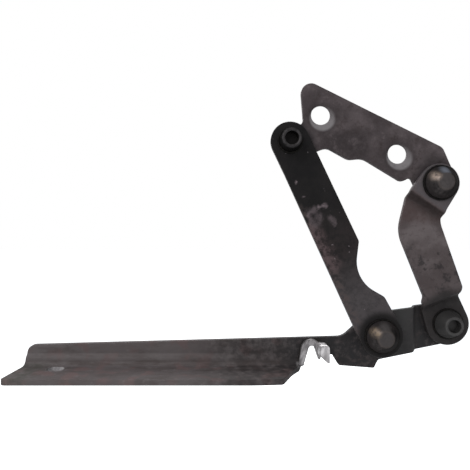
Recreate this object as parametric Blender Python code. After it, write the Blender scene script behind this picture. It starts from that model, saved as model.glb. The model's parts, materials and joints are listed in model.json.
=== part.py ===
"""Hood hinge: two pressed steel links carry a bolt-on bracket over a long flanged arm.

Metres, +Z up. The hinge pins run along Y and the viewer stands at -Y. The origin is on the
underside of the arm's flange, in the middle of its length and of its reach.
The links are shown part way open, and they fold down to the left until the left link meets
the stop lug on the arm.
"""
import math

import bmesh
import bpy
from mathutils import Matrix, Vector

# Sheets and how they stack along the pins
ARM_SHEET = 0.0030
LINK_SHEET = 0.0030
BRACKET_SHEET = 0.0030
EDGE_ROUND = 0.0004
GAP = 0.0003
WEAR_WASHER = 0.0006

# Arm: a flange, and a web that stands on it
FLANGE_LENGTH = 0.1404
FLANGE_REACH = 0.0240
FLANGE_CORNER = 0.0018
FLANGE_END_SLANT = 0.0130
FLANGE_END_HOLLOW = 0.0006
FLANGE_END_RADIUS = 0.0200
FLANGE_LEFT_CORNER = 0.0028
FLANGE_LEFT_FLARE = 0.0003
BEND_RADIUS = 0.0030
WEB_END_IN = 0.0013
WEB_HEIGHT_LEFT = 0.0136
WEB_HEIGHT_RIGHT = 0.0181
WEB_CORNER = 0.0045
NECK_FROM_PIVOT = 0.0218
NECK_FILLET = 0.0080
LEDGE_TOP = 0.0093
LEDGE_BOTTOM = 0.0063
LEDGE_STEP = 0.0015
LEDGE_FADE_LENGTH = 0.0250
LEDGE_END_CLEAR = 0.0038
ARM_LEFT_EYE = 0.0109
ARM_RIGHT_EYE = 0.0114
ARM_RIGHT_EYE_OUT = 0.0004
ARM_RIGHT_EYE_DROP = 0.0003

# Pivots: the lower two lie past the flange's right end, the upper two follow from the links
LEFT_LOW_PAST = 0.0531
LEFT_LOW_Z = 0.0203
RIGHT_LOW_PAST = 0.0923
RIGHT_LOW_Z = 0.0252
LEFT_LENGTH = 0.1144
LEFT_LEAN = 25.13
RIGHT_LENGTH = 0.0769
BRACKET_SPAN = 0.0826

# Travel of the left link from the modelled place. The others follow it at steady rates, which
# are these shares of their true rates at that place and fit best over the whole travel.
OPEN_TURN = -30.0
CLOSED_TURN = 47.0
RIGHT_EASE = 0.969
BRACKET_EASE = 0.989

# Tab below the left pivot, past the flange's right end
TAB_LEFT_PAST = 0.0333
TAB_LEFT_Z = 0.0022
TAB_RIGHT_PAST = 0.0511
TAB_RIGHT_Z = 0.0008
TAB_STEP = 0.0032
TAB_STEP_RUN = 0.0041

# Relief notch with its raised lip, past the flange's right end
NOTCH_PAST = 0.0172
NOTCH_Z = 0.0117
NOTCH_RADIUS = 0.0019
NOTCH_LEFT_SPREAD = 0.0043
NOTCH_LEFT_Z = 0.0036
NOTCH_RIGHT_SPREAD = 0.0037
NOTCH_RIGHT_Z = 0.0065
LIP_WIDTH = 0.0037
LIP_OFF = 0.0003
LIP_LEG = 0.0029
LIP_FOOT_ROUND = 0.0008
LIP_RISE = 0.0020

# Stop lug beside the notch, and the gap between it and the tab
LUG_PAST = 0.0227
LUG_TOP = 0.0154
LUG_WIDTH = 0.0052
LUG_DROP = 0.0051
LUG_TAIL = 0.0037
LUG_TAIL_WIDTH = 0.0012
LUG_REACH = 0.0092
LUG_CORNER = 0.0015
LUG_GAP_PAST = 0.0282
LUG_GAP_TOP = 0.0083
LUG_GAP_ROUND = 0.0010

# Slot in the flange, from the flange's left end and from the web
FLANGE_SLOT_ALONG = 0.0204
FLANGE_SLOT_IN = 0.0080
FLANGE_SLOT_LENGTH = 0.0092
FLANGE_SLOT_WIDTH = 0.0070

# Left link, in its own frame: along from the lower pivot, then to its left
LEFT_HEAD = 0.0103
LEFT_LOBE = 0.0114
SHOULDER_ALONG = 0.0168
SHOULDER_OUT = 0.0103
SHOULDER_ROUND = 0.0046
SCALLOP_ALONG = 0.0340
SCALLOP_WAIST = 0.0032
SCALLOP_RADIUS = 0.0180
SPUR_ALONG = 0.0515
SPUR_OUT = 0.0105
SPUR_ROUND = 0.0023
LEFT_WAIST_FROM_TOP = 0.0160
LEFT_WAIST_OUT = 0.0102
LEFT_WAIST_RADIUS = 0.0150

# Right link, a gooseneck, in its own frame
RIGHT_HEAD = 0.0103
RIGHT_LOBE = 0.0118
NICK_ALONG = 0.0165
NICK_OUT = 0.0070
NICK_ROUND = 0.0020
HIP_ALONG = 0.0202
HIP_OUT = 0.0081
HIP_ROUND = 0.0025
THROAT_FROM_TOP = 0.0208
THROAT_OUT = 0.0001
THROAT_RADIUS = 0.0120
BROW_FROM_TOP = 0.0059
BROW_OUT = 0.0166
BROW_ROUND = 0.0080
BELLY_FROM_TOP = 0.0242
BELLY_OUT = 0.0224
BELLY_RADIUS = 0.0200
HEEL_DIP_ALONG = 0.0170
HEEL_DIP_OUT = 0.0132
HEEL_DIP_ROUND = 0.0023
HEEL_ALONG = 0.0136
HEEL_OUT = 0.0141
HEEL_ROUND = 0.0020
UPPER_JOGGLE_AT = 0.0115
UPPER_JOGGLE_TURN = -38.0
LOWER_JOGGLE_AT = 0.0155
LOWER_JOGGLE_TURN = 16.0
JOGGLE_RUN = 0.0038
ARM_JOGGLE_AT = 0.0157

# Bracket, in its own frame: along the line of its two pivots, then above it
BRACKET_LEFT_EYE = 0.0096
BRACKET_RIGHT_EYE = 0.0110
PEAK_ALONG = 0.0044
PEAK_UP = 0.0344
PEAK_ROUND = 0.0055
TAIL_BACK = 0.0047
TAIL_UP = 0.0203
TAIL_ROUND = 0.0050
ARMPIT_ALONG = 0.0011
ARMPIT_UP = 0.0132
ARMPIT_ROUND = 0.0030
LOW_NOTCH_ALONG = 0.0213
LOW_NOTCH_UP = 0.0025
LOW_NOTCH_RADIUS = 0.0050
LOW_WAVE_ALONG = 0.0330
LOW_WAVE_UP = 0.0000
LOW_WAVE_RADIUS = 0.0060
LOW_DIP_ALONG = 0.0410
LOW_DIP_UP = 0.0021
LOW_DIP_RADIUS = 0.0080
LOW_CHIN_BACK = 0.0193
LOW_CHIN_DOWN = 0.0037
LOW_CHIN_RADIUS = 0.0036
LOW_NICK_BACK = 0.0144
LOW_NICK_DOWN = 0.0010
LOW_NICK_RADIUS = 0.0017
BOLT_HOLE = 0.0105
BOLT_DIMPLE = 0.0172
BOLT_DIMPLE_DEPTH = 0.0014
BOLT_LOW_ALONG = 0.0126
BOLT_LOW_UP = 0.0193
BOLT_HIGH_ALONG = 0.0584
BOLT_HIGH_UP = 0.0102

# Rivets, bushes and washers
SHANK = 0.0070
BUSH_BORE = 0.0076
BUSH_OUTER = 0.0096
BUSH_FLANGE = 0.0150
EYE_BORE = 0.0102
SNUG_BORE = 0.0076
SPACER_OUTER = 0.0106
REAR_WASHER = 0.0180
SLOT_WASHER = 0.0200
REAR_WASHER_THICK = 0.0012
REAR_HEAD = 0.0140
REAR_HEAD_HEIGHT = 0.0025
DOME_BASE = 0.0170
DOME_TOP = 0.0078
DOME_HEIGHT = 0.0062
DOME_FOOT = 0.0012
COLLAR_BASE = 0.0152
COLLAR_TOP = 0.0106
COLLAR_HEIGHT = 0.0072
COLLAR_RECESS = 0.0070
COLLAR_RECESS_DEPTH = 0.0035
TOP_COLLAR_BASE = 0.0118
TOP_COLLAR_TOP = 0.0110

# How finely round shapes are cut
CHORD_ERROR = 0.00003
BELT_ROOM = 0.985
SLOT_STOPS = 12
ROUND_SIDES = 32
EDGE_STEPS = 2
BEND_STEPS = 4
SEAM_MERGE = 0.00003
FLAT_ANGLE = math.radians(0.02)

# Places along Y that follow from the stack: smaller is nearer to the viewer
WEB_FRONT = FLANGE_REACH / 2
PITCH = LINK_SHEET + WEAR_WASHER + 2 * GAP
MIDDLE_LAYER = WEB_FRONT - PITCH
FRONT_LAYER = WEB_FRONT - 2 * PITCH
BEHIND_LAYER = WEB_FRONT + PITCH

# Places along X that follow from the flange's right end
FLANGE_END = FLANGE_LENGTH / 2
NOTCH_X = FLANGE_END + NOTCH_PAST
LUG_X = FLANGE_END + LUG_PAST
LUG_GAP_X = FLANGE_END + LUG_GAP_PAST
TAB_LEFT_X = FLANGE_END + TAB_LEFT_PAST
TAB_RIGHT_X = FLANGE_END + TAB_RIGHT_PAST


def rotated(vector, degrees):
    return Matrix.Rotation(math.radians(degrees), 2) @ vector


def meeting_point(first, first_reach, second, second_reach):
    """Where two rods of given lengths meet, to the left of the line from first to second."""
    apart = (second - first).length
    forward = (second - first) / apart
    along = (first_reach ** 2 - second_reach ** 2 + apart ** 2) / (2 * apart)
    aside = math.sqrt(first_reach ** 2 - along ** 2)
    return first + forward * along + Vector((-forward.y, forward.x)) * aside


# The four pins, seen from the front
LEFT_LOW = Vector((FLANGE_END + LEFT_LOW_PAST, LEFT_LOW_Z))
RIGHT_LOW = Vector((FLANGE_END + RIGHT_LOW_PAST, RIGHT_LOW_Z))
LEFT_TOP = LEFT_LOW + rotated(Vector((0, LEFT_LENGTH)), LEFT_LEAN)
RIGHT_TOP = meeting_point(LEFT_TOP, BRACKET_SPAN, RIGHT_LOW, RIGHT_LENGTH)

# Turns of the right link and of the bracket on the left link, for each degree of the left link
LEFT_BAR = LEFT_TOP - LEFT_LOW
RIGHT_BAR = RIGHT_TOP - RIGHT_LOW
TOP_BAR = RIGHT_TOP - LEFT_TOP
RIGHT_FOLLOWS = RIGHT_EASE * LEFT_BAR.cross(TOP_BAR) / RIGHT_BAR.cross(TOP_BAR)
BRACKET_FOLLOWS = BRACKET_EASE * LEFT_BAR.cross(RIGHT_BAR) / RIGHT_BAR.cross(TOP_BAR) - 1


def clear_scene():
    for old in list(bpy.data.objects):
        bpy.data.objects.remove(old, do_unlink=True)


def steel(name, colour, roughness, metallic):
    """A Principled material for one part."""
    material = bpy.data.materials.new(name)
    material.use_nodes = True
    shader = material.node_tree.nodes["Principled BSDF"]
    shader.inputs["Base Color"].default_value = (*colour, 1.0)
    shader.inputs["Roughness"].default_value = roughness
    shader.inputs["Metallic"].default_value = metallic
    material.diffuse_color = (*colour, 1.0)
    return material


def fitted(discs):
    """Eases rounds that are too large for the distance between them, as a wall limits a fillet."""
    discs = list(discs)
    count = len(discs)
    for first in list(range(count)) * count:
        second = (first + 1) % count
        x0, z0, r0 = discs[first]
        x1, z1, r1 = discs[second]
        room = BELT_ROOM * math.hypot(x1 - x0, z1 - z0)
        if abs(r0 - r1) > room:
            share = room / abs(r0 - r1)
            discs[first] = (x0, z0, r0 * share)
            discs[second] = (x1, z1, r1 * share)
    return discs


def belt(discs, inset=0.0):
    """Outline of a plate, as a belt run round discs (x, z, radius), anticlockwise.

    A positive radius is a bulge with its disc inside the plate. A negative radius is a hollow
    with its disc outside. An inset pulls the whole outline inwards by the same amount.
    """
    discs = fitted(discs)
    count = len(discs)
    headings = []
    for index in range(count):
        x0, z0, r0 = discs[index]
        x1, z1, r1 = discs[(index + 1) % count]
        length = math.hypot(x1 - x0, z1 - z0)
        slope = math.atan2(z1 - z0, x1 - x0)
        headings.append(slope + math.asin((r0 - r1) / length))
    points = []
    for index in range(count):
        x, z, radius = discs[index]
        start = headings[index - 1]
        turn = (headings[index] - start) % math.tau
        if radius < 0.0:
            turn -= math.tau
        arc_step = 2 * math.acos(1 - CHORD_ERROR / max(abs(radius), 4 * CHORD_ERROR))
        steps = max(1, math.ceil(abs(turn) / arc_step))
        for step in range(steps + 1):
            angle = start + turn * step / steps - math.pi / 2
            reach = radius - inset
            points.append((x + reach * math.cos(angle), z + reach * math.sin(angle)))
    return points


def circle(centre, diameter, sides=ROUND_SIDES):
    points = []
    for index in range(sides):
        angle = math.tau * index / sides
        points.append((centre[0] + diameter / 2 * math.cos(angle), centre[1] + diameter / 2 * math.sin(angle)))
    return points


def stamped_plate(discs, thickness, edge=EDGE_ROUND):
    """A flat plate with rounded edges: front face at y = 0, back face at y = thickness."""
    stations = []
    for step in range(EDGE_STEPS + 1):
        angle = math.pi / 2 * step / EDGE_STEPS
        stations.append((edge * (1 - math.sin(angle)), edge * (1 - math.cos(angle))))
    stations += [(inset, thickness - depth) for inset, depth in reversed(stations)]
    mesh = bmesh.new()
    rings = []
    for inset, depth in stations:
        rings.append([mesh.verts.new((x, depth, z)) for x, z in belt(discs, inset)])
    count = len(rings[0])
    for front, back in zip(rings, rings[1:]):
        for index in range(count):
            after = (index + 1) % count
            mesh.faces.new((front[index], back[index], back[after], front[after]))
    mesh.faces.new(rings[0])
    mesh.faces.new(list(reversed(rings[-1])))
    return mesh


def cut_across(mesh, point, direction):
    """Adds an edge line right through the solid, so that it can bend there."""
    everything = mesh.verts[:] + mesh.edges[:] + mesh.faces[:]
    bmesh.ops.bisect_plane(mesh, geom=everything, plane_co=point, plane_no=direction, dist=1e-7)


def eased(share):
    """Goes from 0 to 1 with level ends, as a pressed sheet does."""
    share = max(0.0, min(1.0, share))
    return share * share * (3 - 2 * share)


def joggle(mesh, point, direction, run, step):
    """Presses a step into a plate: beyond the point along direction it moves by step in y."""
    direction = Vector(direction).normalized()
    point = Vector(point)
    for index in range(BEND_STEPS + 1):
        cut_across(mesh, point + direction * (run * index / BEND_STEPS), direction)
    for vertex in mesh.verts:
        vertex.co.y += step * eased((vertex.co - point).dot(direction) / run)


def finish_mesh(mesh, name):
    """Closes a bmesh into a mesh with outward faces, smooth but for its sharp edges."""
    bmesh.ops.dissolve_degenerate(mesh, dist=1e-7, edges=mesh.edges[:])
    bmesh.ops.triangulate(mesh, faces=mesh.faces[:])
    bmesh.ops.recalc_face_normals(mesh, faces=mesh.faces[:])
    bmesh.ops.dissolve_limit(mesh, angle_limit=FLAT_ANGLE, verts=mesh.verts[:], edges=mesh.edges[:])
    data = bpy.data.meshes.new(name)
    mesh.to_mesh(data)
    mesh.free()
    data.shade_smooth()
    data.set_sharp_from_angle(angle=math.radians(30))
    return data


def add_object(name, data, material=None, matrix=None):
    thing = bpy.data.objects.new(name, data)
    bpy.context.scene.collection.objects.link(thing)
    if matrix is not None:
        thing.matrix_world = matrix
    if material is not None:
        data.materials.append(material)
    return thing


def prism(name, outline, front, back):
    """A straight block along Y, used to cut or to add."""
    mesh = bmesh.new()
    near = [mesh.verts.new((x, front, z)) for x, z in outline]
    far = [mesh.verts.new((x, back, z)) for x, z in outline]
    count = len(outline)
    for index in range(count):
        after = (index + 1) % count
        mesh.faces.new((near[index], far[index], far[after], near[after]))
    mesh.faces.new(near)
    mesh.faces.new(list(reversed(far)))
    return finish_mesh(mesh, name)


def turned(name, profile, centre, sides=ROUND_SIDES):
    """A turned solid about a pin's axis: profile holds (radius, y) from one end to the other."""
    mesh = bmesh.new()
    rings = []
    for radius, y in profile:
        if radius == 0.0:
            rings.append([mesh.verts.new((centre[0], y, centre[1]))])
            continue
        ring = [mesh.verts.new((x, y, z)) for x, z in circle(centre, 2 * radius, sides)]
        rings.append(ring)
    closed = profile[0][0] != 0.0
    pairs = list(zip(rings, rings[1:]))
    if closed:
        pairs.append((rings[-1], rings[0]))
    for first, second in pairs:
        for index in range(sides):
            after = (index + 1) % sides
            if len(first) == 1:
                mesh.faces.new((first[0], second[after], second[index]))
            elif len(second) == 1:
                mesh.faces.new((first[index], first[after], second[0]))
            else:
                mesh.faces.new((first[index], first[after], second[after], second[index]))
    return finish_mesh(mesh, name)


def hide_tool(thing):
    thing.hide_render = True
    thing.display_type = "WIRE"


def combine(target, tool, operation):
    """Joins or cuts with a tool that stays in the file, hidden."""
    hide_tool(tool)
    tool.parent = target
    modifier = target.modifiers.new(tool.name, "BOOLEAN")
    modifier.operation = operation
    modifier.solver = "EXACT"
    modifier.object = tool


def clean_seams(target):
    """Merges the hair-thin slivers that the cuts leave where two edges nearly meet."""
    weld = target.modifiers.new("clean_seams", "WELD")
    weld.merge_threshold = SEAM_MERGE


def drill(target, name, centre, diameter, front, back):
    """A straight round hole along Y, cut from well before the front to well past the back."""
    clear = ARM_SHEET
    tool = add_object(name, prism(name, circle(centre, diameter), front - clear, back + clear))
    combine(target, tool, "DIFFERENCE")


def local_frame(foot, top):
    """A plate's own axes: along from foot to top, and the unit vector to its left."""
    along = (top - foot).normalized()
    return along, Vector((-along.y, along.x))


def placed(foot, top, discs):
    """Moves discs given as (along, left, radius) into the model's own x and z."""
    along, left = local_frame(foot, top)
    moved = []
    for a, b, radius in discs:
        centre = foot + along * a + left * b
        moved.append((centre.x, centre.y, radius))
    return moved


def hull(points):
    """The outline of a band stretched round the points, anticlockwise."""
    outline = []
    for row in (sorted(points), sorted(points, reverse=True)):
        side = []
        for x, z in row:
            while len(side) > 1:
                (x0, z0), (x1, z1) = side[-2:]
                if (x1 - x0) * (z - z0) - (z1 - z0) * (x - x0) > 0:
                    break
                side.pop()
            side.append((x, z))
        outline += side[:-1]
    return outline


def fold_arm(mesh):
    """Folds the arm's flat blank: x along it, y through it, z up the web and down round the bend."""
    bend_top = ARM_SHEET + BEND_RADIUS
    bend_length = BEND_RADIUS * math.pi / 2
    ledge_end = NOTCH_X - NOTCH_RADIUS - LIP_WIDTH - LEDGE_END_CLEAR
    ledge_fade = ledge_end - LEDGE_FADE_LENGTH
    bend_centre = WEB_FRONT - BEND_RADIUS
    joggle_x = RIGHT_LOW.x - ARM_JOGGLE_AT

    for index in range(BEND_STEPS + 1):
        cut_across(mesh, (0, 0, bend_top - bend_length * index / BEND_STEPS), (0, 0, 1))
        cut_across(mesh, (0, 0, LEDGE_TOP + (LEDGE_BOTTOM - LEDGE_TOP) * index / BEND_STEPS), (0, 0, 1))
        cut_across(mesh, (ledge_fade + LEDGE_FADE_LENGTH * index / BEND_STEPS, 0, 0), (1, 0, 0))
        cut_across(mesh, (joggle_x - JOGGLE_RUN * index / BEND_STEPS, 0, 0), (1, 0, 0))
    cut_across(mesh, (NOTCH_X - NOTCH_RADIUS / 2, 0, 0), (1, 0, 0))
    cut_across(mesh, (NOTCH_X, 0, 0), (1, 0, 0))
    bmesh.ops.triangulate(mesh, faces=mesh.faces[:])

    for vertex in mesh.verts:
        x, depth, height = vertex.co
        y = WEB_FRONT + depth
        z = height
        if x < NOTCH_X - NOTCH_RADIUS / 3 and height < bend_top:
            turn = min(1.0, (bend_top - height) / bend_length) * math.pi / 2
            radius = BEND_RADIUS + depth
            past = max(0.0, bend_top - height - bend_length)
            y = bend_centre + radius * math.cos(turn) - past
            z = bend_top - radius * math.sin(turn)
        ledge = eased((LEDGE_TOP - height) / (LEDGE_TOP - LEDGE_BOTTOM))
        y -= LEDGE_STEP * ledge * (1 - eased((x - ledge_fade) / LEDGE_FADE_LENGTH))
        y += PITCH * eased((x - joggle_x + JOGGLE_RUN) / JOGGLE_RUN)
        vertex.co = (x, y, z)


def arm_blank():
    """The arm's flat blank before it is folded, in x and developed height."""
    bend_top = ARM_SHEET + BEND_RADIUS
    bend_length = BEND_RADIUS * math.pi / 2
    edge = bend_top - bend_length - (FLANGE_REACH - BEND_RADIUS - LEDGE_STEP)
    left = -FLANGE_END - FLANGE_LEFT_FLARE + FLANGE_LEFT_CORNER
    corner = Vector((FLANGE_END - FLANGE_CORNER, edge + FLANGE_CORNER))
    heel = Vector((FLANGE_END + FLANGE_END_SLANT, bend_top - bend_length / 2))
    slant = (heel - corner).normalized()
    hollow = corner.lerp(heel, 0.6) + Vector((slant.y, -slant.x)) * (FLANGE_END_RADIUS - FLANGE_END_HOLLOW)
    return [
        (left, edge + FLANGE_LEFT_CORNER, FLANGE_LEFT_CORNER),
        (corner.x, corner.y, FLANGE_CORNER),
        (hollow.x, hollow.y, -FLANGE_END_RADIUS),
        (heel.x, heel.y, -FLANGE_CORNER / 2),
        (LUG_GAP_X, LUG_GAP_TOP - LUG_GAP_ROUND, -LUG_GAP_ROUND),
        (TAB_LEFT_X, TAB_LEFT_Z + LUG_CORNER, LUG_CORNER),
        (TAB_RIGHT_X, TAB_RIGHT_Z + EDGE_ROUND * 3, EDGE_ROUND * 3),
        (TAB_RIGHT_X + TAB_STEP_RUN, TAB_RIGHT_Z + TAB_STEP, -EDGE_ROUND * 4),
        (RIGHT_LOW.x + ARM_RIGHT_EYE_OUT, RIGHT_LOW.y - ARM_RIGHT_EYE_DROP, ARM_RIGHT_EYE),
        (LEFT_LOW.x, LEFT_LOW.y, ARM_LEFT_EYE),
        (LEFT_LOW.x - NECK_FROM_PIVOT, WEB_HEIGHT_RIGHT + NECK_FILLET, -NECK_FILLET),
        (-FLANGE_END + WEB_END_IN + WEB_CORNER, WEB_HEIGHT_LEFT - WEB_CORNER, WEB_CORNER),
    ]


def make_arm(material):
    mesh = stamped_plate(arm_blank(), ARM_SHEET)
    fold_arm(mesh)
    arm = add_object("arm", finish_mesh(mesh, "arm"), material)

    web_middle = WEB_FRONT + ARM_SHEET / 2
    mouth_left = NOTCH_X - NOTCH_LEFT_SPREAD
    mouth_right = NOTCH_X + NOTCH_RIGHT_SPREAD
    tip = EDGE_ROUND * 1.5
    lip_discs = [
        (mouth_left - LIP_LEG + LIP_FOOT_ROUND, ARM_SHEET, LIP_FOOT_ROUND),
        (mouth_right + EDGE_ROUND, NOTCH_RIGHT_Z + EDGE_ROUND, tip),
        (NOTCH_X - LIP_OFF, NOTCH_Z - LIP_OFF / 2, NOTCH_RADIUS + LIP_WIDTH),
    ]
    lip_tool = add_object("notch_lip", prism("notch_lip", belt(lip_discs), WEB_FRONT - LIP_RISE, web_middle))
    combine(arm, lip_tool, "UNION")

    notch_discs = [
        (mouth_left + GAP, -ARM_SHEET, GAP),
        (mouth_right - GAP, -ARM_SHEET, GAP),
        (mouth_right - GAP, NOTCH_RIGHT_Z, GAP),
        (NOTCH_X, NOTCH_Z, NOTCH_RADIUS),
        (mouth_left + GAP, NOTCH_LEFT_Z, GAP),
    ]
    notch = prism("notch_cut", belt(notch_discs), WEB_FRONT - FLANGE_REACH / 2, WEB_FRONT + 2 * ARM_SHEET)
    combine(arm, add_object("notch_cut", notch), "DIFFERENCE")

    left = LUG_X - LUG_WIDTH / 2
    right = LUG_X + LUG_WIDTH / 2
    shoulder = LUG_TOP - LUG_DROP
    lug_discs = [
        (left + GAP, shoulder, GAP),
        (right - LUG_TAIL_WIDTH + GAP, shoulder - LUG_TAIL, GAP),
        (right - GAP, shoulder - LUG_TAIL, GAP),
        (right - LUG_CORNER, LUG_TOP - LUG_CORNER, LUG_CORNER),
        (left + LUG_CORNER, LUG_TOP - LUG_CORNER, LUG_CORNER),
    ]
    lug_tool = add_object("stop_lug", prism("stop_lug", belt(lug_discs), WEB_FRONT - LUG_REACH, web_middle))
    combine(arm, lug_tool, "UNION")

    drill(arm, "left_low_hole", LEFT_LOW, SNUG_BORE, WEB_FRONT, WEB_FRONT + ARM_SHEET)
    drill(arm, "right_low_hole", RIGHT_LOW, SNUG_BORE, BEHIND_LAYER, BEHIND_LAYER + ARM_SHEET)

    slot_x = FLANGE_SLOT_ALONG - FLANGE_END
    slot_half = (FLANGE_SLOT_LENGTH - FLANGE_SLOT_WIDTH) / 2
    slot_discs = [
        (slot_x - slot_half, 0.0, FLANGE_SLOT_WIDTH / 2),
        (slot_x + slot_half, 0.0, FLANGE_SLOT_WIDTH / 2),
    ]
    slot = prism("flange_slot", belt(slot_discs), -2 * ARM_SHEET, 2 * ARM_SHEET)
    slot_y = WEB_FRONT - FLANGE_SLOT_IN
    upright = Matrix.Translation((0, slot_y, 0)) @ Matrix.Rotation(math.pi / 2, 4, "X")
    combine(arm, add_object("flange_slot", slot, matrix=upright), "DIFFERENCE")
    clean_seams(arm)
    return arm


def make_left_link(material):
    discs = [
        (0.0, 0.0, LEFT_LOBE),
        (SHOULDER_ALONG, SHOULDER_ROUND - SHOULDER_OUT, SHOULDER_ROUND),
        (SCALLOP_ALONG, -SCALLOP_WAIST - SCALLOP_RADIUS, -SCALLOP_RADIUS),
        (SPUR_ALONG, SPUR_ROUND - SPUR_OUT, SPUR_ROUND),
        (LEFT_LENGTH, 0.0, LEFT_HEAD),
        (LEFT_LENGTH - LEFT_WAIST_FROM_TOP, LEFT_WAIST_OUT + LEFT_WAIST_RADIUS, -LEFT_WAIST_RADIUS),
    ]
    mesh = stamped_plate(placed(LEFT_LOW, LEFT_TOP, discs), LINK_SHEET)
    bmesh.ops.translate(mesh, verts=mesh.verts[:], vec=(0, FRONT_LAYER, 0))
    link = add_object("left_link", finish_mesh(mesh, "left_link"), material)
    drill(link, "left_link_low_eye", LEFT_LOW, EYE_BORE, FRONT_LAYER, FRONT_LAYER + LINK_SHEET)
    drill(link, "left_link_top_eye", LEFT_TOP, SNUG_BORE, FRONT_LAYER, FRONT_LAYER + LINK_SHEET)
    clean_seams(link)
    return link


def make_right_link(material):
    throat = RIGHT_LENGTH - THROAT_FROM_TOP
    belly = RIGHT_LENGTH - BELLY_FROM_TOP
    discs = [
        (0.0, 0.0, RIGHT_LOBE),
        (NICK_ALONG, -NICK_OUT - NICK_ROUND, -NICK_ROUND),
        (HIP_ALONG, HIP_ROUND - HIP_OUT, HIP_ROUND),
        (throat, -THROAT_OUT - THROAT_RADIUS, -THROAT_RADIUS),
        (RIGHT_LENGTH, 0.0, RIGHT_HEAD),
        (RIGHT_LENGTH - BROW_FROM_TOP, BROW_OUT - BROW_ROUND, BROW_ROUND),
        (belly, BELLY_OUT - BELLY_RADIUS, BELLY_RADIUS),
        (HEEL_DIP_ALONG, HEEL_DIP_OUT + HEEL_DIP_ROUND, -HEEL_DIP_ROUND),
        (HEEL_ALONG, HEEL_OUT - HEEL_ROUND, HEEL_ROUND),
    ]
    mesh = stamped_plate(placed(RIGHT_LOW, RIGHT_TOP, discs), LINK_SHEET)
    bmesh.ops.translate(mesh, verts=mesh.verts[:], vec=(0, WEB_FRONT, 0))

    along, left = local_frame(RIGHT_LOW, RIGHT_TOP)
    up = rotated(along, LOWER_JOGGLE_TURN)
    start = RIGHT_LOW + up * (LOWER_JOGGLE_AT - JOGGLE_RUN)
    joggle(mesh, (start.x, 0, start.y), (up.x, 0, up.y), JOGGLE_RUN, -PITCH)
    up = rotated(along, UPPER_JOGGLE_TURN)
    start = RIGHT_TOP - up * (UPPER_JOGGLE_AT + JOGGLE_RUN)
    joggle(mesh, (start.x, 0, start.y), (up.x, 0, up.y), JOGGLE_RUN, -PITCH)

    link = add_object("right_link", finish_mesh(mesh, "right_link"), material)
    drill(link, "right_link_low_eye", RIGHT_LOW, EYE_BORE, WEB_FRONT, WEB_FRONT + LINK_SHEET)
    drill(link, "right_link_top_eye", RIGHT_TOP, SNUG_BORE, FRONT_LAYER, FRONT_LAYER + LINK_SHEET)
    clean_seams(link)
    return link


def pin_in_bracket(turn):
    """Where the right link's upper pin lies in the bracket's frame when the left link has turned."""
    along, left = local_frame(LEFT_TOP, RIGHT_TOP)
    top = LEFT_LOW + rotated(LEFT_BAR, turn)
    pin = RIGHT_LOW + rotated(RIGHT_BAR, turn * RIGHT_FOLLOWS)
    shift = rotated(pin - top, -turn * (1 + BRACKET_FOLLOWS))
    return shift.dot(along), shift.dot(left)


def make_bracket(material):
    discs = [
        (0.0, 0.0, BRACKET_LEFT_EYE),
        (LOW_NOTCH_ALONG, LOW_NOTCH_UP - LOW_NOTCH_RADIUS, -LOW_NOTCH_RADIUS),
        (LOW_WAVE_ALONG, LOW_WAVE_UP + LOW_WAVE_RADIUS, LOW_WAVE_RADIUS),
        (LOW_DIP_ALONG, LOW_DIP_UP - LOW_DIP_RADIUS, -LOW_DIP_RADIUS),
        (BRACKET_SPAN - LOW_CHIN_BACK, LOW_CHIN_RADIUS - LOW_CHIN_DOWN, LOW_CHIN_RADIUS),
        (BRACKET_SPAN - LOW_NICK_BACK, -LOW_NICK_DOWN - LOW_NICK_RADIUS, -LOW_NICK_RADIUS),
        (BRACKET_SPAN, 0.0, BRACKET_RIGHT_EYE),
        (BRACKET_SPAN - TAIL_BACK, TAIL_UP - TAIL_ROUND, TAIL_ROUND),
        (PEAK_ALONG, PEAK_UP - PEAK_ROUND, PEAK_ROUND),
        (ARMPIT_ALONG, ARMPIT_UP, -ARMPIT_ROUND),
    ]
    mesh = stamped_plate(placed(LEFT_TOP, RIGHT_TOP, discs), BRACKET_SHEET)
    bmesh.ops.translate(mesh, verts=mesh.verts[:], vec=(0, MIDDLE_LAYER, 0))
    bracket = add_object("bracket", finish_mesh(mesh, "bracket"), material)
    drill(bracket, "bracket_left_eye", LEFT_TOP, EYE_BORE, MIDDLE_LAYER, MIDDLE_LAYER + BRACKET_SHEET)

    reach = SHANK / 2 + GAP
    travel = CLOSED_TURN - OPEN_TURN
    stops = [pin_in_bracket(OPEN_TURN + travel * step / SLOT_STOPS) for step in range(SLOT_STOPS + 1)]
    slot = placed(LEFT_TOP, RIGHT_TOP, [(a, b, reach) for a, b in hull(stops)])
    clear = MIDDLE_LAYER + BRACKET_SHEET
    tool = prism("bracket_right_slot", belt(slot), MIDDLE_LAYER - GAP, clear + GAP)
    combine(bracket, add_object("bracket_right_slot", tool), "DIFFERENCE")

    along, up = local_frame(LEFT_TOP, RIGHT_TOP)
    bolt_places = ((BOLT_LOW_ALONG, BOLT_LOW_UP), (BOLT_HIGH_ALONG, BOLT_HIGH_UP))
    for index, (a, b) in enumerate(bolt_places):
        centre = LEFT_TOP + along * a + up * b
        back = MIDDLE_LAYER + BRACKET_SHEET + GAP
        front = MIDDLE_LAYER - GAP
        slope = (BOLT_DIMPLE - BOLT_HOLE) / 2 / BOLT_DIMPLE_DEPTH
        profile = [
            (0.0, back),
            (BOLT_HOLE / 2, back),
            (BOLT_HOLE / 2, MIDDLE_LAYER + BOLT_DIMPLE_DEPTH),
            (BOLT_DIMPLE / 2 + GAP * slope, front),
            (0.0, front),
        ]
        name = f"bolt_hole_{index + 1}"
        combine(bracket, add_object(name, turned(name, profile, centre)), "DIFFERENCE")
    clean_seams(bracket)
    return bracket


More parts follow.
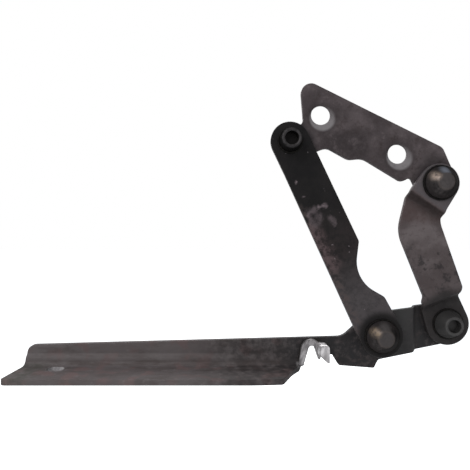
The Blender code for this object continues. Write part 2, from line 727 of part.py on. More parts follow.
def domed_front(face):
    """The rounded head with a small flat top, from its foot on the plate to its middle."""
    foot = face - GAP
    return [
        (DOME_BASE / 2, foot),
        (DOME_BASE / 2, foot - DOME_FOOT),
        (DOME_BASE / 2 - DOME_FOOT / 2, foot - DOME_FOOT * 1.8),
        (DOME_TOP / 2 + DOME_FOOT, foot - DOME_HEIGHT + DOME_FOOT * 0.6),
        (DOME_TOP / 2, foot - DOME_HEIGHT),
        (0.0, foot - DOME_HEIGHT),
    ]


def hollow_front(face, base, top):
    """The rolled end: a collar that narrows outwards, with a round recess in its middle."""
    foot = face - GAP
    end = foot - COLLAR_HEIGHT
    recess = COLLAR_RECESS / 2
    lip = (top / 2 - recess) / 2
    return [
        (base / 2, foot),
        (base / 2, foot - DOME_FOOT),
        (top / 2, end + lip),
        (top / 2 - lip / 3, end + lip / 3),
        (top / 2 - lip, end),
        (recess, end + lip / 3),
        (recess - GAP, end + COLLAR_RECESS_DEPTH),
        (0.0, end + COLLAR_RECESS_DEPTH),
    ]


def make_rivet(name, centre, front_profile, back_face, washer_thick, material):
    """One pin with its front head, and behind it the head that was formed last."""
    seat = back_face + GAP + washer_thick + GAP
    crown = seat + REAR_HEAD_HEIGHT
    profile = list(reversed(front_profile))
    profile += [
        (SHANK / 2, front_profile[0][1]),
        (SHANK / 2, seat),
        (REAR_HEAD / 2, seat),
        (REAR_HEAD / 2, seat + REAR_HEAD_HEIGHT * 0.4),
        (REAR_HEAD / 2 * 0.8, seat + REAR_HEAD_HEIGHT * 0.85),
        (REAR_HEAD / 2 * 0.5, crown),
        (0.0, crown),
    ]
    return add_object(name, turned(name, profile, centre), material)


def make_ring(name, centre, bore, outer, front, thick, material):
    """A flat washer or a plain spacer with softly broken edges."""
    soft = min(EDGE_ROUND, thick / 4)
    back = front + thick
    profile = [
        (bore / 2, front),
        (outer / 2 - soft, front),
        (outer / 2, front + soft),
        (outer / 2, back - soft),
        (outer / 2 - soft, back),
        (bore / 2, back),
    ]
    return add_object(name, turned(name, profile, centre), material)


def make_bush(name, centre, flange_front, sleeve_end, material):
    """A thin flanged bush: the flange keeps two plates apart, the sleeve lines one eye."""
    flange_back = flange_front + WEAR_WASHER
    if sleeve_end > flange_back:
        profile = [
            (BUSH_BORE / 2, flange_front),
            (BUSH_FLANGE / 2, flange_front),
            (BUSH_FLANGE / 2, flange_back),
            (BUSH_OUTER / 2, flange_back),
            (BUSH_OUTER / 2, sleeve_end),
            (BUSH_BORE / 2, sleeve_end),
        ]
    else:
        profile = [
            (BUSH_BORE / 2, sleeve_end),
            (BUSH_OUTER / 2, sleeve_end),
            (BUSH_OUTER / 2, flange_front),
            (BUSH_FLANGE / 2, flange_front),
            (BUSH_FLANGE / 2, flange_back),
            (BUSH_BORE / 2, flange_back),
        ]
    return add_object(name, turned(name, profile, centre), material)


def make_pivots(rivet_steel, bronze, washer_steel):
    front_back = FRONT_LAYER + LINK_SHEET
    middle_back = MIDDLE_LAYER + BRACKET_SHEET
    web_back = WEB_FRONT + ARM_SHEET
    end_back = BEHIND_LAYER + ARM_SHEET

    head = hollow_front(FRONT_LAYER, TOP_COLLAR_BASE, TOP_COLLAR_TOP)
    make_rivet("left_top_rivet", LEFT_TOP, head, middle_back, REAR_WASHER_THICK, rivet_steel)
    head = domed_front(FRONT_LAYER)
    make_rivet("right_top_rivet", RIGHT_TOP, head, middle_back, REAR_WASHER_THICK, rivet_steel)
    make_rivet("left_low_rivet", LEFT_LOW, head, web_back, REAR_WASHER_THICK, rivet_steel)
    head = hollow_front(WEB_FRONT, COLLAR_BASE, COLLAR_TOP)
    make_rivet("right_low_rivet", RIGHT_LOW, head, end_back, REAR_WASHER_THICK, rivet_steel)

    make_bush("left_top_bush", LEFT_TOP, front_back + GAP, middle_back, bronze)
    make_bush("left_low_bush", LEFT_LOW, front_back + GAP, FRONT_LAYER, bronze)
    make_bush("right_low_bush", RIGHT_LOW, WEB_FRONT + LINK_SHEET + GAP, WEB_FRONT, bronze)
    make_ring("right_top_wear_washer", RIGHT_TOP, BUSH_BORE, DOME_BASE, front_back + GAP, WEAR_WASHER, bronze)

    spacer_front = front_back + 2 * GAP + WEAR_WASHER
    spacer_thick = WEB_FRONT - GAP - spacer_front
    make_ring("left_low_spacer", LEFT_LOW, BUSH_BORE, SPACER_OUTER, spacer_front, spacer_thick, washer_steel)

    rear_places = (
        ("left_top_rear_washer", LEFT_TOP, REAR_WASHER, middle_back),
        ("right_top_rear_washer", RIGHT_TOP, SLOT_WASHER, middle_back),
        ("left_low_rear_washer", LEFT_LOW, REAR_WASHER, web_back),
        ("right_low_rear_washer", RIGHT_LOW, REAR_WASHER, end_back),
    )
    for name, centre, outer, face in rear_places:
        make_ring(name, centre, BUSH_BORE, outer, face + GAP, REAR_WASHER_THICK, washer_steel)


def add_pivot(name, centre, pieces, parent=None):
    """An empty on a joint's axis that carries the pieces which turn about it."""
    pivot = bpy.data.objects.new(name, None)
    bpy.context.scene.collection.objects.link(pivot)
    pivot.empty_display_size = EYE_BORE
    pivot.location = (centre.x, WEB_FRONT, centre.y)
    if parent is not None:
        pivot.parent = parent
        pivot.location -= parent.location
    for piece in pieces:
        child = bpy.data.objects[piece]
        child.parent = pivot
        child.matrix_parent_inverse = Matrix.Translation((-centre.x, -WEB_FRONT, -centre.y))
    return pivot


def hang_on_pivots():
    left_pieces = ("left_link", "left_low_bush", "left_top_rivet", "left_top_rear_washer")
    left = add_pivot("left_link_pivot", LEFT_LOW, left_pieces)
    right_pieces = (
        "right_link", "right_low_bush", "right_top_rivet", "right_top_wear_washer", "right_top_rear_washer")
    add_pivot("right_link_pivot", RIGHT_LOW, right_pieces)
    add_pivot("bracket_pivot", LEFT_TOP, ("bracket", "left_top_bush"), left)


def main():
    clear_scene()
    primed = steel("grey_brown_primed_steel", (0.082, 0.073, 0.076), 0.55, 0.35)
    blackened = steel("blackened_steel", (0.022, 0.021, 0.022), 0.5, 0.4)
    worn = steel("worn_link_steel", (0.095, 0.086, 0.084), 0.5, 0.45)
    rivet_steel = steel("dark_rivet_steel", (0.055, 0.05, 0.05), 0.35, 0.8)
    bronze = steel("bush_bronze", (0.30, 0.19, 0.09), 0.4, 0.9)
    washer_steel = steel("washer_steel", (0.18, 0.17, 0.16), 0.45, 0.9)
    make_arm(primed)
    make_left_link(blackened)
    make_right_link(worn)
    make_bracket(primed.copy())
    make_pivots(rivet_steel, bronze, washer_steel)
    hang_on_pivots()


main()
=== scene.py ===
# %% [markdown]
# # A used hood hinge
# This lesson dresses a pressed steel hood hinge: a long flanged arm, two links, a bolt-on bracket
# and four riveted pivots. The solids come from the CAD model and stay where they are. Here they
# get soft edges, old paint, dirt, grease and bare worn spots.
# The paint is dark and matt, so most of the look lies in small changes of colour and roughness.

# %% Load the solids
import json
import math

import bmesh
import bpy
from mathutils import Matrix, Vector


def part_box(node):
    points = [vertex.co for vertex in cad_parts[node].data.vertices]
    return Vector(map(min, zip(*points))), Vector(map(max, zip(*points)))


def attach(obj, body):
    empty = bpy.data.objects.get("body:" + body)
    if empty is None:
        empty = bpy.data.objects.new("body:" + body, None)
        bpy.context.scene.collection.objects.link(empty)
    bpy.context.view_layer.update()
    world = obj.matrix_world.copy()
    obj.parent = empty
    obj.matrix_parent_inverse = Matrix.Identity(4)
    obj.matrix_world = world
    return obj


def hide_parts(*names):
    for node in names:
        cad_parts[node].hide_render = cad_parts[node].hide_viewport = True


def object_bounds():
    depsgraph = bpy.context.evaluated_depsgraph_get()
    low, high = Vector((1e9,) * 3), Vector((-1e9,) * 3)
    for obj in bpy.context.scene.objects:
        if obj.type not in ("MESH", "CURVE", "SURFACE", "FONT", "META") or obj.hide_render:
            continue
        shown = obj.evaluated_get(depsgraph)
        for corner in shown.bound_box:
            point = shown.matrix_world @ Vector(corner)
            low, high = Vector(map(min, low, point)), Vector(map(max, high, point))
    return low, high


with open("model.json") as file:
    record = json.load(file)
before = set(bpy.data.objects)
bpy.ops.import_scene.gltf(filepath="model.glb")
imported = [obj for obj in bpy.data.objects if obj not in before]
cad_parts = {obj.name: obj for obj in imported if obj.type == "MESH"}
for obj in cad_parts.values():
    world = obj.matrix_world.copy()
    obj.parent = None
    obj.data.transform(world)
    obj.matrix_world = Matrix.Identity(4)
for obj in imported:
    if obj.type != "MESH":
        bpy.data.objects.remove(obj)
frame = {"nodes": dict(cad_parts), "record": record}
cad_low, cad_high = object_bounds()


def in_mm(lengths):
    """Lengths in millimetres, rounded for printing."""
    return [round(length * 1000, 1) for length in lengths]


print("solids:", len(frame["nodes"]), "box in mm:", in_mm(cad_high - cad_low))

# %% [markdown]
# ## Where the pivots are
# Dirt and grease gather round the pins, so the finishes need to know where these are.
# The middle of each rivet's box is its pin's axis, so the places are read from the solids and
# never typed in. The pins run along Y, and the viewer stands at -Y.

# %% Read the pivots from the rivets
MM = 0.001
PINS = ("left_low", "right_low", "left_top", "right_top")


def middle_of(node):
    """Middle of a solid's box."""
    low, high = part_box(node)
    return (low + high) / 2


pivot = {pin: middle_of(pin + "_rivet") for pin in PINS}
for name, place in pivot.items():
    print(name, in_mm(place))

# %% [markdown]
# ## Two small helpers
# Paint colours are written as sRGB hex values, the way a paint chart gives them, but shaders work
# on linear light. One function turns one into the other.
# A second function adds a shader or geometry node, sets its fields and links its inputs, so that
# each finish below reads as a short list.

# %% Colour and node helpers
def paint(code):
    """Linear colour of an sRGB hex value."""
    parts = [int(code[index:index + 2], 16) / 255 for index in (1, 3, 5)]
    linear = [part / 12.92 if part <= 0.04045 else ((part + 0.055) / 1.055) ** 2.4 for part in parts]
    return (*linear, 1.0)


def add(tree, kind, inputs=None, **fields):
    """Adds one node, sets its fields, and sets or links its inputs by name or by number."""
    node = tree.nodes.new(kind)
    for field, value in fields.items():
        setattr(node, field, value)
    for key, value in (inputs or {}).items():
        socket = node.inputs[key]
        if isinstance(value, bpy.types.NodeSocket):
            tree.links.new(value, socket)
        else:
            socket.default_value = value
    return node


print("mid grey is", [round(part, 3) for part in paint("#808080")])

# %% [markdown]
# ## The camera
# The picture was taken square on to the plates, from about a forearm's length, so the flange's
# near edge looks larger than the web behind it. A camera at that distance with a 30.6 mm lens on
# a 36 mm sensor repeats this. It looks straight along the pins.

# %% Place the camera
LENS = 30.64
SENSOR = 36.0
CAMERA_PLACE = (0.0455, -0.208, 0.074)
scene = bpy.context.scene
camera_data = bpy.data.cameras.new("camera")
camera_data.lens = LENS
camera_data.sensor_width = SENSOR
camera = bpy.data.objects.new("camera", camera_data)
camera.location = CAMERA_PLACE
camera.rotation_euler = (math.pi / 2, 0, 0)
scene.collection.objects.link(camera)
scene.camera = camera
print("camera stands", round(-camera.location.y * 1000), "mm in front of the flange's middle")

# %% [markdown]
# ## Light
# The hinge was lit by a broad soft light from above and a little from the left, as by a window.
# A large area lamp does that, a weaker one fills the right, a third lights the back for whoever
# looks from behind, and the world gives an even and slightly cool grey.
# The camera and mirrors see a white world instead, so the background is plain white while the
# light on the object stays at its plain level.

# %% Hang the lamps
AIM = Vector((0.05, 0.0, 0.06))
LAMPS = (
    ("window_light", (-0.32, -0.42, 0.48), 0.35, 4.6),
    ("right_fill", (0.45, -0.55, 0.20), 0.5, 0.8),
    ("rear_light", (0.10, 0.60, 0.40), 0.5, 3.0),
)


def soft_lamp(name, place, size, power):
    """A square area lamp that faces the hinge. Its size is in metres and its power in watts."""
    data = bpy.data.lights.new(name, "AREA")
    data.energy = power
    data.size = size
    lamp = bpy.data.objects.new(name, data)
    lamp.location = place
    lamp.rotation_euler = (AIM - Vector(place)).to_track_quat("-Z", "Y").to_euler()
    scene.collection.objects.link(lamp)


for row in LAMPS:
    soft_lamp(*row)
print("lamps:", [row[0] for row in LAMPS])

# %% Paint the room
ROOM_TINT = (0.9, 0.95, 1.0, 1.0)
ROOM_STRENGTH = 0.55
PLAIN_WHITE = (1.0, 1.0, 1.0, 1.0)


def seen_or_mirrored(tree):
    """1 where the camera, a mirror or a glass looks, and 0 where light is gathered."""
    path = add(tree, "ShaderNodeLightPath")
    seen = path.outputs["Is Camera Ray"]
    for kind in ("Is Glossy Ray", "Is Transmission Ray"):
        seen = add(tree, "ShaderNodeMath", {0: seen, 1: path.outputs[kind]}, operation="MAXIMUM").outputs[0]
    return seen


def white_room():
    world = bpy.data.worlds.new("plain_white_room")
    world.use_nodes = True
    tree = world.node_tree
    tree.nodes.clear()
    seen = seen_or_mirrored(tree)
    room = add(tree, "ShaderNodeBackground", {"Color": ROOM_TINT, "Strength": ROOM_STRENGTH})
    white = add(tree, "ShaderNodeBackground", {"Color": PLAIN_WHITE, "Strength": 1.0})
    mixed = add(tree, "ShaderNodeMixShader", {0: seen, 1: room.outputs[0], 2: white.outputs[0]})
    add(tree, "ShaderNodeOutputWorld", {"Surface": mixed.outputs[0]})
    return world


scene.view_settings.view_transform = "Standard"
scene.world = white_room()
print("made", scene.world.name)

# %% [markdown]
# ## The floor
# The hinge is fixed by its flange in real life, so nothing carries it here. The floor is a pale
# sheet some way below it, low enough that its shadow falls soft and mostly out of the picture.
# For the camera it also glows a little, so that its lit parts reach plain white.

# %% Lay the floor
FLOOR_DROP = 0.16
FLOOR_REACH = 6.0
FLOOR_GLOW = 0.55


def white_paper():
    material = bpy.data.materials.new("matt_white_paper")
    material.use_nodes = True
    tree = material.node_tree
    tree.nodes.clear()
    glow = add(tree, "ShaderNodeMath", {0: seen_or_mirrored(tree), 1: FLOOR_GLOW}, operation="MULTIPLY")
    light = add(tree, "ShaderNodeEmission", {"Strength": glow.outputs[0]})
    matt = add(tree, "ShaderNodeBsdfDiffuse", {"Color": paint("#F6F6F6")})
    both = add(tree, "ShaderNodeAddShader", {0: matt.outputs[0], 1: light.outputs[0]})
    add(tree, "ShaderNodeOutputMaterial", {"Surface": both.outputs[0]})
    return material


def lay_floor():
    mesh = bpy.data.meshes.new("pale_floor")
    signs = ((-1, -1), (1, -1), (1, 1), (-1, 1))
    corners = [(x * FLOOR_REACH, y * FLOOR_REACH, 0) for x, y in signs]
    mesh.from_pydata(corners, [], [(0, 1, 2, 3)])
    mesh.materials.append(white_paper())
    floor = bpy.data.objects.new("pale_floor", mesh)
    floor.location.z = cad_low.z - FLOOR_DROP
    scene.collection.objects.link(floor)


lay_floor()
print("floor lies", round(FLOOR_DROP * 1000), "mm below the hinge")

# %% [markdown]
# ## Masks that follow the metal
# Dirt isn't spread at random. It sits in bends, darkens towards the greasy pivots and wears off
# where things rub. Some masks are measured from real places: a fade along a direction, a ring
# round a pin, a box round a feature. All of them read Object coordinates, which are metres here.
# Two more masks come from the shape itself. Ambient occlusion finds the inner corners, where dirt
# stays and shade falls, so the dark colour laid there is painted shade as well as dirt, and the same
# node turned inside out finds the outer edges, where paint goes first. Both look at their own piece
# only, so they stay the same when the hinge moves.

# %% Fades, rings and boxes
ACROSS = (1, 0, 0)
AWAY = (0, 1, 0)
UP = (0, 0, 1)


def window(tree, value, start, end, low=0.0, high=1.0):
    """Goes softly from low to high while a value goes from start to end."""
    inputs = {"Value": value, "From Min": start, "From Max": end, "To Min": low, "To Max": high}
    return add(tree, "ShaderNodeMapRange", inputs, interpolation_type="SMOOTHSTEP").outputs["Result"]


def times(tree, first, second):
    """Multiplies two values, so that only what both masks let through stays."""
    return add(tree, "ShaderNodeMath", {0: first, 1: second}, operation="MULTIPLY").outputs[0]


def either(tree, first, second):
    """The higher of two values, so that what either mask lets through stays."""
    return add(tree, "ShaderNodeMath", {0: first, 1: second}, operation="MAXIMUM").outputs[0]


def fade(tree, coords, direction, start, end, low=0.0, high=1.0):
    """Goes from low to high between two distances along a direction."""
    along = add(tree, "ShaderNodeVectorMath", {0: coords, 1: direction}, operation="DOT_PRODUCT")
    return window(tree, along.outputs["Value"], start, end, low, high)


def ring_fade(tree, coords, centre, inner, outer, low=1.0, high=0.0):
    """Changes from low to high with the distance from a pin's axis."""
    flat = add(tree, "ShaderNodeVectorMath", {0: coords, 1: (1, 0, 1)}, operation="MULTIPLY")
    middle = (centre[0], 0, centre[2])
    gap = add(tree, "ShaderNodeVectorMath", {0: flat.outputs[0], 1: middle}, operation="DISTANCE")
    return window(tree, gap.outputs["Value"], inner, outer, low, high)


def boxed(tree, coords, box, soft):
    """1 inside a box and 0 outside it, where None leaves a side open."""
    mask = None
    for axis, direction in enumerate((ACROSS, AWAY, UP)):
        for edge, sign in ((box[0][axis], 1), (box[1][axis], -1)):
            if edge is None:
                continue
            side = fade(tree, coords, direction, edge - sign * soft, edge + sign * soft)
            mask = side if mask is None else times(tree, mask, side)
    return mask


print("masks by place: fade, ring and box")

# %% Noise, corners and edges
def noise(tree, coords, grain, detail=3.0, rough=0.55, stretch=(1.0, 1.0, 1.0), turn=0.0, shift=0.0):
    """Cloudy pattern whose blotches are about one grain wide, in metres, and may be drawn out."""
    moved = {"Vector": coords, "Location": (shift, shift, shift), "Rotation": (0, turn, 0)}
    turned = add(tree, "ShaderNodeMapping", moved)
    scaled = add(tree, "ShaderNodeVectorMath", {0: turned.outputs[0], 1: stretch}, operation="MULTIPLY")
    looks = {"Vector": scaled.outputs[0], "Scale": 1.0 / grain, "Detail": detail, "Roughness": rough}
    return add(tree, "ShaderNodeTexNoise", looks).outputs["Fac"]


def inner_corners(tree, reach, start=0.86, end=0.45):
    """1 in bends and corners that the piece itself hides from the light."""
    hidden = add(tree, "ShaderNodeAmbientOcclusion", {"Distance": reach}, only_local=True, samples=8)
    return window(tree, hidden.outputs["AO"], start, end)


def outer_edges(tree, reach=0.7 * MM, start=0.80, end=0.45):
    """1 on the edges of the sheet, found by looking for daylight from inside the metal."""
    looks = {"inside": True, "only_local": True, "samples": 8}
    near = add(tree, "ShaderNodeAmbientOcclusion", {"Distance": reach}, **looks)
    return window(tree, near.outputs["AO"], start, end)


print("masks by shape: inner corners and outer edges")

# %% [markdown]
# ## Paint in layers
# Each finish starts as two close shades, mixed by soft noise. Then come its stains, one over the
# other, and each has a colour and a mask. A noise value keeps near 0.5 and seldom leaves 0.3 to
# 0.7, so a window of 0.34 to 0.62 lets most of a stain through and one of 0.54 to 0.74 only
# blotches of it. Two more numbers on a window say how strong the stain is at its weakest and at
# its strongest. The finest noise also makes the bump, whose depth is a real one in metres.

# %% Layers and materials
def layer(tree, under, over, mask):
    """Lays one colour over another where the mask is high. Each is a hex value or a socket."""
    under, over = [paint(colour) if isinstance(colour, str) else colour for colour in (under, over)]
    mixed = add(tree, "ShaderNodeMix", {"Factor": mask, 6: under, 7: over}, data_type="RGBA")
    return mixed.outputs[2]


def worn_edges(tree, colour, bare, blotches, start, end, strength):
    """Shows another colour along the sheet's edges, in blotches."""
    wear_and_highlight = window(tree, blotches, start, end, 0.0, strength)
    return layer(tree, colour, bare, times(tree, outer_edges(tree), wear_and_highlight))


def start_material(name, roughness, metallic, specular):
    """A new Principled material and its Object coordinates."""
    material = bpy.data.materials.new(name)
    material.use_nodes = True
    shader = material.node_tree.nodes["Principled BSDF"]
    shader.inputs["Roughness"].default_value = roughness
    shader.inputs["Metallic"].default_value = metallic
    shader.inputs["Specular IOR Level"].default_value = specular
    coords = add(material.node_tree, "ShaderNodeTexCoord").outputs["Object"]
    return material, material.node_tree, shader, coords


def finish_material(tree, shader, colour, roughness, height, depth):
    """Links colour, roughness and a bump of a real depth in metres."""
    tree.links.new(colour, shader.inputs["Base Color"])
    tree.links.new(roughness, shader.inputs["Roughness"])
    bump = add(tree, "ShaderNodeBump", {"Height": height, "Distance": depth, "Strength": 1.0})
    tree.links.new(bump.outputs[0], shader.inputs["Normal"])


print("paint helpers ready")

# %% [markdown]
# ## Old primer on the arm
# The arm and the bracket are hot rolled steel under thin grey-brown primer, dulled by years of
# dust. Such primer is matt, so its gloss is low and uneven. It is mottled at every scale, from
# clouds of a few centimetres down to a fine grain of 0.6 mm, with streaks that follow the rolling
# direction. The flange faces up into the light, so its paint is written darker than it looks.
# Dirt has settled on the web and on the flange's free end. The bend under the web and the inner
# corners are darkened with dirt and painted shade. Towards the pivots, grease holds the dirt and the
# surface turns nearly black, in blotches first and then all over.

# %% Primer and dirt on the arm
# A pair says where a fade starts and ends, in metres along Y, Z or X, and the last row is a box.
FLANGE_DEPTHS = (0.0105, 0.0070)
WEB_HEIGHTS = (0.0035, 0.0055)
BEND_FOOT = (0.0028, 0.0038)
BEND_TOP = (0.0062, 0.0050)
TIP_HEIGHTS = (0.0045, 0.0035)
TIP_REACH = (-0.050, -0.064)
DIRT_REACH = (0.012, 0.054)
GREASE_REACH = (0.062, 0.084)
BETWEEN_LOW_PINS = ((0.128, None, None), (0.148, None, None))


def arm_base(tree, coords, clouds, blotches, streaks):
    """Mottled primer, written darker on the flange."""
    tints = noise(tree, coords, 11 * MM, 2.0, 0.5, shift=4.2)
    colour = layer(tree, "#504A4A", "#5C5757", window(tree, clouds, 0.38, 0.66))
    colour = layer(tree, colour, "#413B3B", fade(tree, coords, AWAY, *FLANGE_DEPTHS, 0.0, 0.6))
    colour = layer(tree, colour, "#3A3331", window(tree, streaks, 0.46, 0.74, 0.0, 0.6))
    colour = layer(tree, colour, "#5A4746", window(tree, tints, 0.50, 0.64, 0.0, 0.5))
    return layer(tree, colour, "#625C5C", window(tree, blotches, 0.54, 0.74, 0.0, 0.55))


def settled_dirt(tree, coords, colour, clouds, blotches, streaks):
    """Dirt on the web and the flange's free end, dirt and painted shade in the bend, whose mask comes back
    too.
    """
    web = fade(tree, coords, UP, *WEB_HEIGHTS)
    web = times(tree, web, window(tree, clouds, 0.30, 0.60, 0.15, 0.35))
    colour = layer(tree, colour, "#332D2C", web)
    # The bend gets dirt and painted shade.
    bend = times(tree, fade(tree, coords, UP, *BEND_FOOT), fade(tree, coords, UP, *BEND_TOP))
    bend_dirt_and_shade = times(tree, bend, window(tree, streaks, 0.30, 0.60, 0.15, 0.55))
    colour = layer(tree, colour, "#332B29", bend_dirt_and_shade)
    tip = fade(tree, coords, ACROSS, *TIP_REACH, 0.0, 0.8)
    tip = times(tree, tip, fade(tree, coords, UP, *TIP_HEIGHTS))
    tip = times(tree, tip, window(tree, blotches, 0.36, 0.60, 0.35, 1.0))
    return layer(tree, colour, "#383733", tip), bend


def pivot_dirt(tree, coords, colour, clouds, blotches, bend):
    """The dark end of the arm: patchy dirt, then grease, and a paler patch between the low pins."""
    patchy = fade(tree, coords, ACROSS, *DIRT_REACH, 0.0, 0.78)
    patchy = times(tree, patchy, window(tree, blotches, 0.62, 0.38, 0.35, 1.0))
    patchy = times(tree, patchy, window(tree, bend, 0.0, 1.0, 1.0, 0.65))
    colour = layer(tree, colour, "#1D1A1A", patchy)
    greasy = fade(tree, coords, ACROSS, *GREASE_REACH, 0.0, 0.92)
    greasy = times(tree, greasy, window(tree, blotches, 0.66, 0.44, 0.45, 1.0))
    colour = layer(tree, colour, "#1B1A1B", greasy)
    between = boxed(tree, coords, BETWEEN_LOW_PINS, 4 * MM)
    between = times(tree, between, window(tree, clouds, 0.3, 0.6, 0.5, 0.9))
    return layer(tree, colour, "#2E2D2D", between)


print("dirt thickens along the arm, between x in mm:", in_mm(DIRT_REACH))

# %% [markdown]
# ## Bare steel on the arm
# The turned-out lip beside the notch and the lug behind it have lost their paint altogether, and
# the slot's rim has lost some. There the steel is bright. On the lip and the lug it is metallic
# too, with fine scratches across it. The lip's edge and the lug's lower part are painted darker,
# as painted shade.

# %% Bare spots and the finished arm
LIP = ((0.0792, None, 0.0028), (0.0935, 0.0112, 0.0180))
LUG = ((0.0895, None, 0.0060), (0.0962, 0.0100, 0.0160))
SHADED_LUG_HEIGHTS = (0.0125, 0.0085)
SLOT_RIM = 2 * MM
opening_box = {row["name"]: row["box_m"] for row in frame["record"]["physics"]["openings"]}
slot_low, slot_high = opening_box["flange_slot"]
SLOT = (
    (slot_low[0] - SLOT_RIM, slot_low[1] - SLOT_RIM, 0.0001),
    (slot_high[0] + SLOT_RIM, slot_high[1] + SLOT_RIM, 0.0029),
)


def bare_steel(tree, coords, colour, blotches):
    """Scratched steel on the lip, the lug and the slot's rim, with painted shade, and the mask of the
    metallic part.
    """
    lip = boxed(tree, coords, LIP, 0.8 * MM)
    lug = boxed(tree, coords, LUG, 0.6 * MM)
    slot = boxed(tree, coords, SLOT, 0.2 * MM)
    slot = times(tree, slot, window(tree, blotches, 0.30, 0.55, 0.25, 0.75))
    scratches = noise(tree, coords, 1.6 * MM, 3.0, 0.6, stretch=(1.0, 1.0, 0.2), turn=math.radians(-20))
    steel = layer(tree, "#5C595A", "#868384", window(tree, scratches, 0.38, 0.64))
    torn = layer(tree, "#8C898A", "#AFACAD", window(tree, scratches, 0.34, 0.62))
    # Painted shade on the lower part of the lug.
    torn = layer(tree, torn, "#6A6768", fade(tree, coords, UP, *SHADED_LUG_HEIGHTS, 0.0, 0.6))
    steel = layer(tree, steel, torn, either(tree, lug, slot))
    bare = times(tree, either(tree, lip, lug), window(tree, blotches, 0.30, 0.42))
    colour = layer(tree, colour, steel, either(tree, bare, slot))
    # Painted shade along the lip's edge.
    painted_lip_shade = times(tree, lip, outer_edges(tree, 0.9 * MM, 0.85, 0.55))
    return layer(tree, colour, "#3A3737", times(tree, painted_lip_shade, 0.7)), bare


def arm_primer():
    material, tree, shader, coords = start_material("dusty_primer_on_pressed_steel", 0.68, 0.0, 0.12)
    clouds = noise(tree, coords, 26 * MM, 3.0)
    blotches = noise(tree, coords, 4 * MM, 5.0, 0.65)
    streaks = noise(tree, coords, 3.5 * MM, 4.0, 0.6, stretch=(0.25, 1.0, 1.0))
    grain = noise(tree, coords, 0.6 * MM, 2.0)
    colour = arm_base(tree, coords, clouds, blotches, streaks)
    colour, bend = settled_dirt(tree, coords, colour, clouds, blotches, streaks)
    colour = pivot_dirt(tree, coords, colour, clouds, blotches, bend)
    colour = layer(tree, colour, "#6A6260", window(tree, grain, 0.66, 0.80, 0.0, 0.25))
    # Painted shade and dirt in the inner corners.
    colour = layer(tree, colour, "#1E1B1A", inner_corners(tree, 5 * MM))
    colour = worn_edges(tree, colour, "#6E6663", blotches, 0.42, 0.62, 0.6)
    colour, bare = bare_steel(tree, coords, colour, blotches)
    tree.links.new(times(tree, bare, 0.75), shader.inputs["Metallic"])
    rough = window(tree, blotches, 0.3, 0.7, 0.58, 0.80)
    smoother = times(tree, bare, -0.28)
    rough = add(tree, "ShaderNodeMath", {0: smoother, 1: rough}, operation="ADD").outputs[0]
    finish_material(tree, shader, colour, rough, grain, 0.05 * MM)
    return material


arm_paint = arm_primer()
print("made", arm_paint.name)

# %% [markdown]
# ## The bracket's primer
# The bracket has the same primer, a little browner. Hands have rubbed it paler along its edges.
# The dimple round each of the two bolt holes carries a pale ring of painted highlight, palest on its
# lower side, and a ring of painted shade lies round it. Grease has darkened the bracket round the two
# pivots, and it is darker in the hollow between them.

# %% Primer for the bracket
DIMPLE_LIT_SIDE = Vector((-0.4, 0.0, -0.92))
DIMPLE_HIGHLIGHT_SHIFT = (0.7 * MM, -2.1 * MM)
HOLLOW = ((0.0905, None, 0.1150), (0.1180, None, 0.1300))


def painted_dimple_light(tree, coords, colour, blotches):
    """A ring of painted shade round each bolt hole, and in it a painted highlight, palest on its lower side.
    """
    for name in ("low_bolt_hole", "high_bolt_hole"):
        low, high = opening_box[name]
        middle = [(first + last) / 2 for first, last in zip(low, high)]
        centre = (middle[0] + DIMPLE_HIGHLIGHT_SHIFT[0], 0, middle[2] + DIMPLE_HIGHLIGHT_SHIFT[1])
        level = DIMPLE_LIT_SIDE.dot(Vector(middle))
        # A painted highlight on the dimple, palest on its lower side.
        lit = fade(tree, coords, tuple(DIMPLE_LIT_SIDE), level - 5 * MM, level + 4 * MM, 0.45, 1.0)
        wear_and_highlight = times(tree, ring_fade(tree, coords, centre, 5.9 * MM, 7.6 * MM, 0.9, 0.0), lit)
        wear_and_highlight = times(tree, wear_and_highlight, window(tree, blotches, 0.28, 0.55, 0.6, 1.0))
        # A ring of painted shade round the dimple.
        dimple_rim_shade = ring_fade(tree, coords, centre, 7.5 * MM, 10 * MM, 0.5, 0.0)
        colour = layer(tree, colour, "#2B2627", dimple_rim_shade)
        colour = layer(tree, colour, "#686465", wear_and_highlight)
    return colour


def bracket_primer():
    material, tree, shader, coords = start_material("rubbed_primer_on_bracket", 0.66, 0.0, 0.12)
    clouds = noise(tree, coords, 18 * MM, 3.0, shift=1.7)
    blotches = noise(tree, coords, 3.5 * MM, 5.0, 0.65, shift=0.4)
    grain = noise(tree, coords, 0.6 * MM, 2.0)
    colour = layer(tree, "#332D2E", "#443D3E", window(tree, clouds, 0.36, 0.66))
    colour = layer(tree, colour, "#2A2322", window(tree, blotches, 0.50, 0.74, 0.0, 0.7))
    colour = layer(tree, colour, "#4E4647", window(tree, blotches, 0.46, 0.28, 0.0, 0.6))
    colour = layer(tree, colour, "#5E5657", window(tree, grain, 0.64, 0.80, 0.0, 0.35))
    for pin, strength in (("left_top", 0.9), ("right_top", 0.55)):
        near = ring_fade(tree, coords, pivot[pin], 9 * MM, 17 * MM, strength, 0.0)
        colour = layer(tree, colour, "#161415", near)
    hollow = boxed(tree, coords, HOLLOW, 4 * MM)
    hollow = times(tree, hollow, window(tree, blotches, 0.3, 0.6, 0.3, 0.8))
    colour = layer(tree, colour, "#262122", hollow)
    colour = painted_dimple_light(tree, coords, colour, blotches)
    # Painted shade and dirt in the inner corners.
    colour = layer(tree, colour, "#1E1A1A", inner_corners(tree, 4 * MM))
    colour = worn_edges(tree, colour, "#6B6466", blotches, 0.40, 0.60, 0.7)
    rough = window(tree, blotches, 0.3, 0.7, 0.55, 0.78)
    finish_material(tree, shader, colour, rough, grain, 0.05 * MM)
    return material


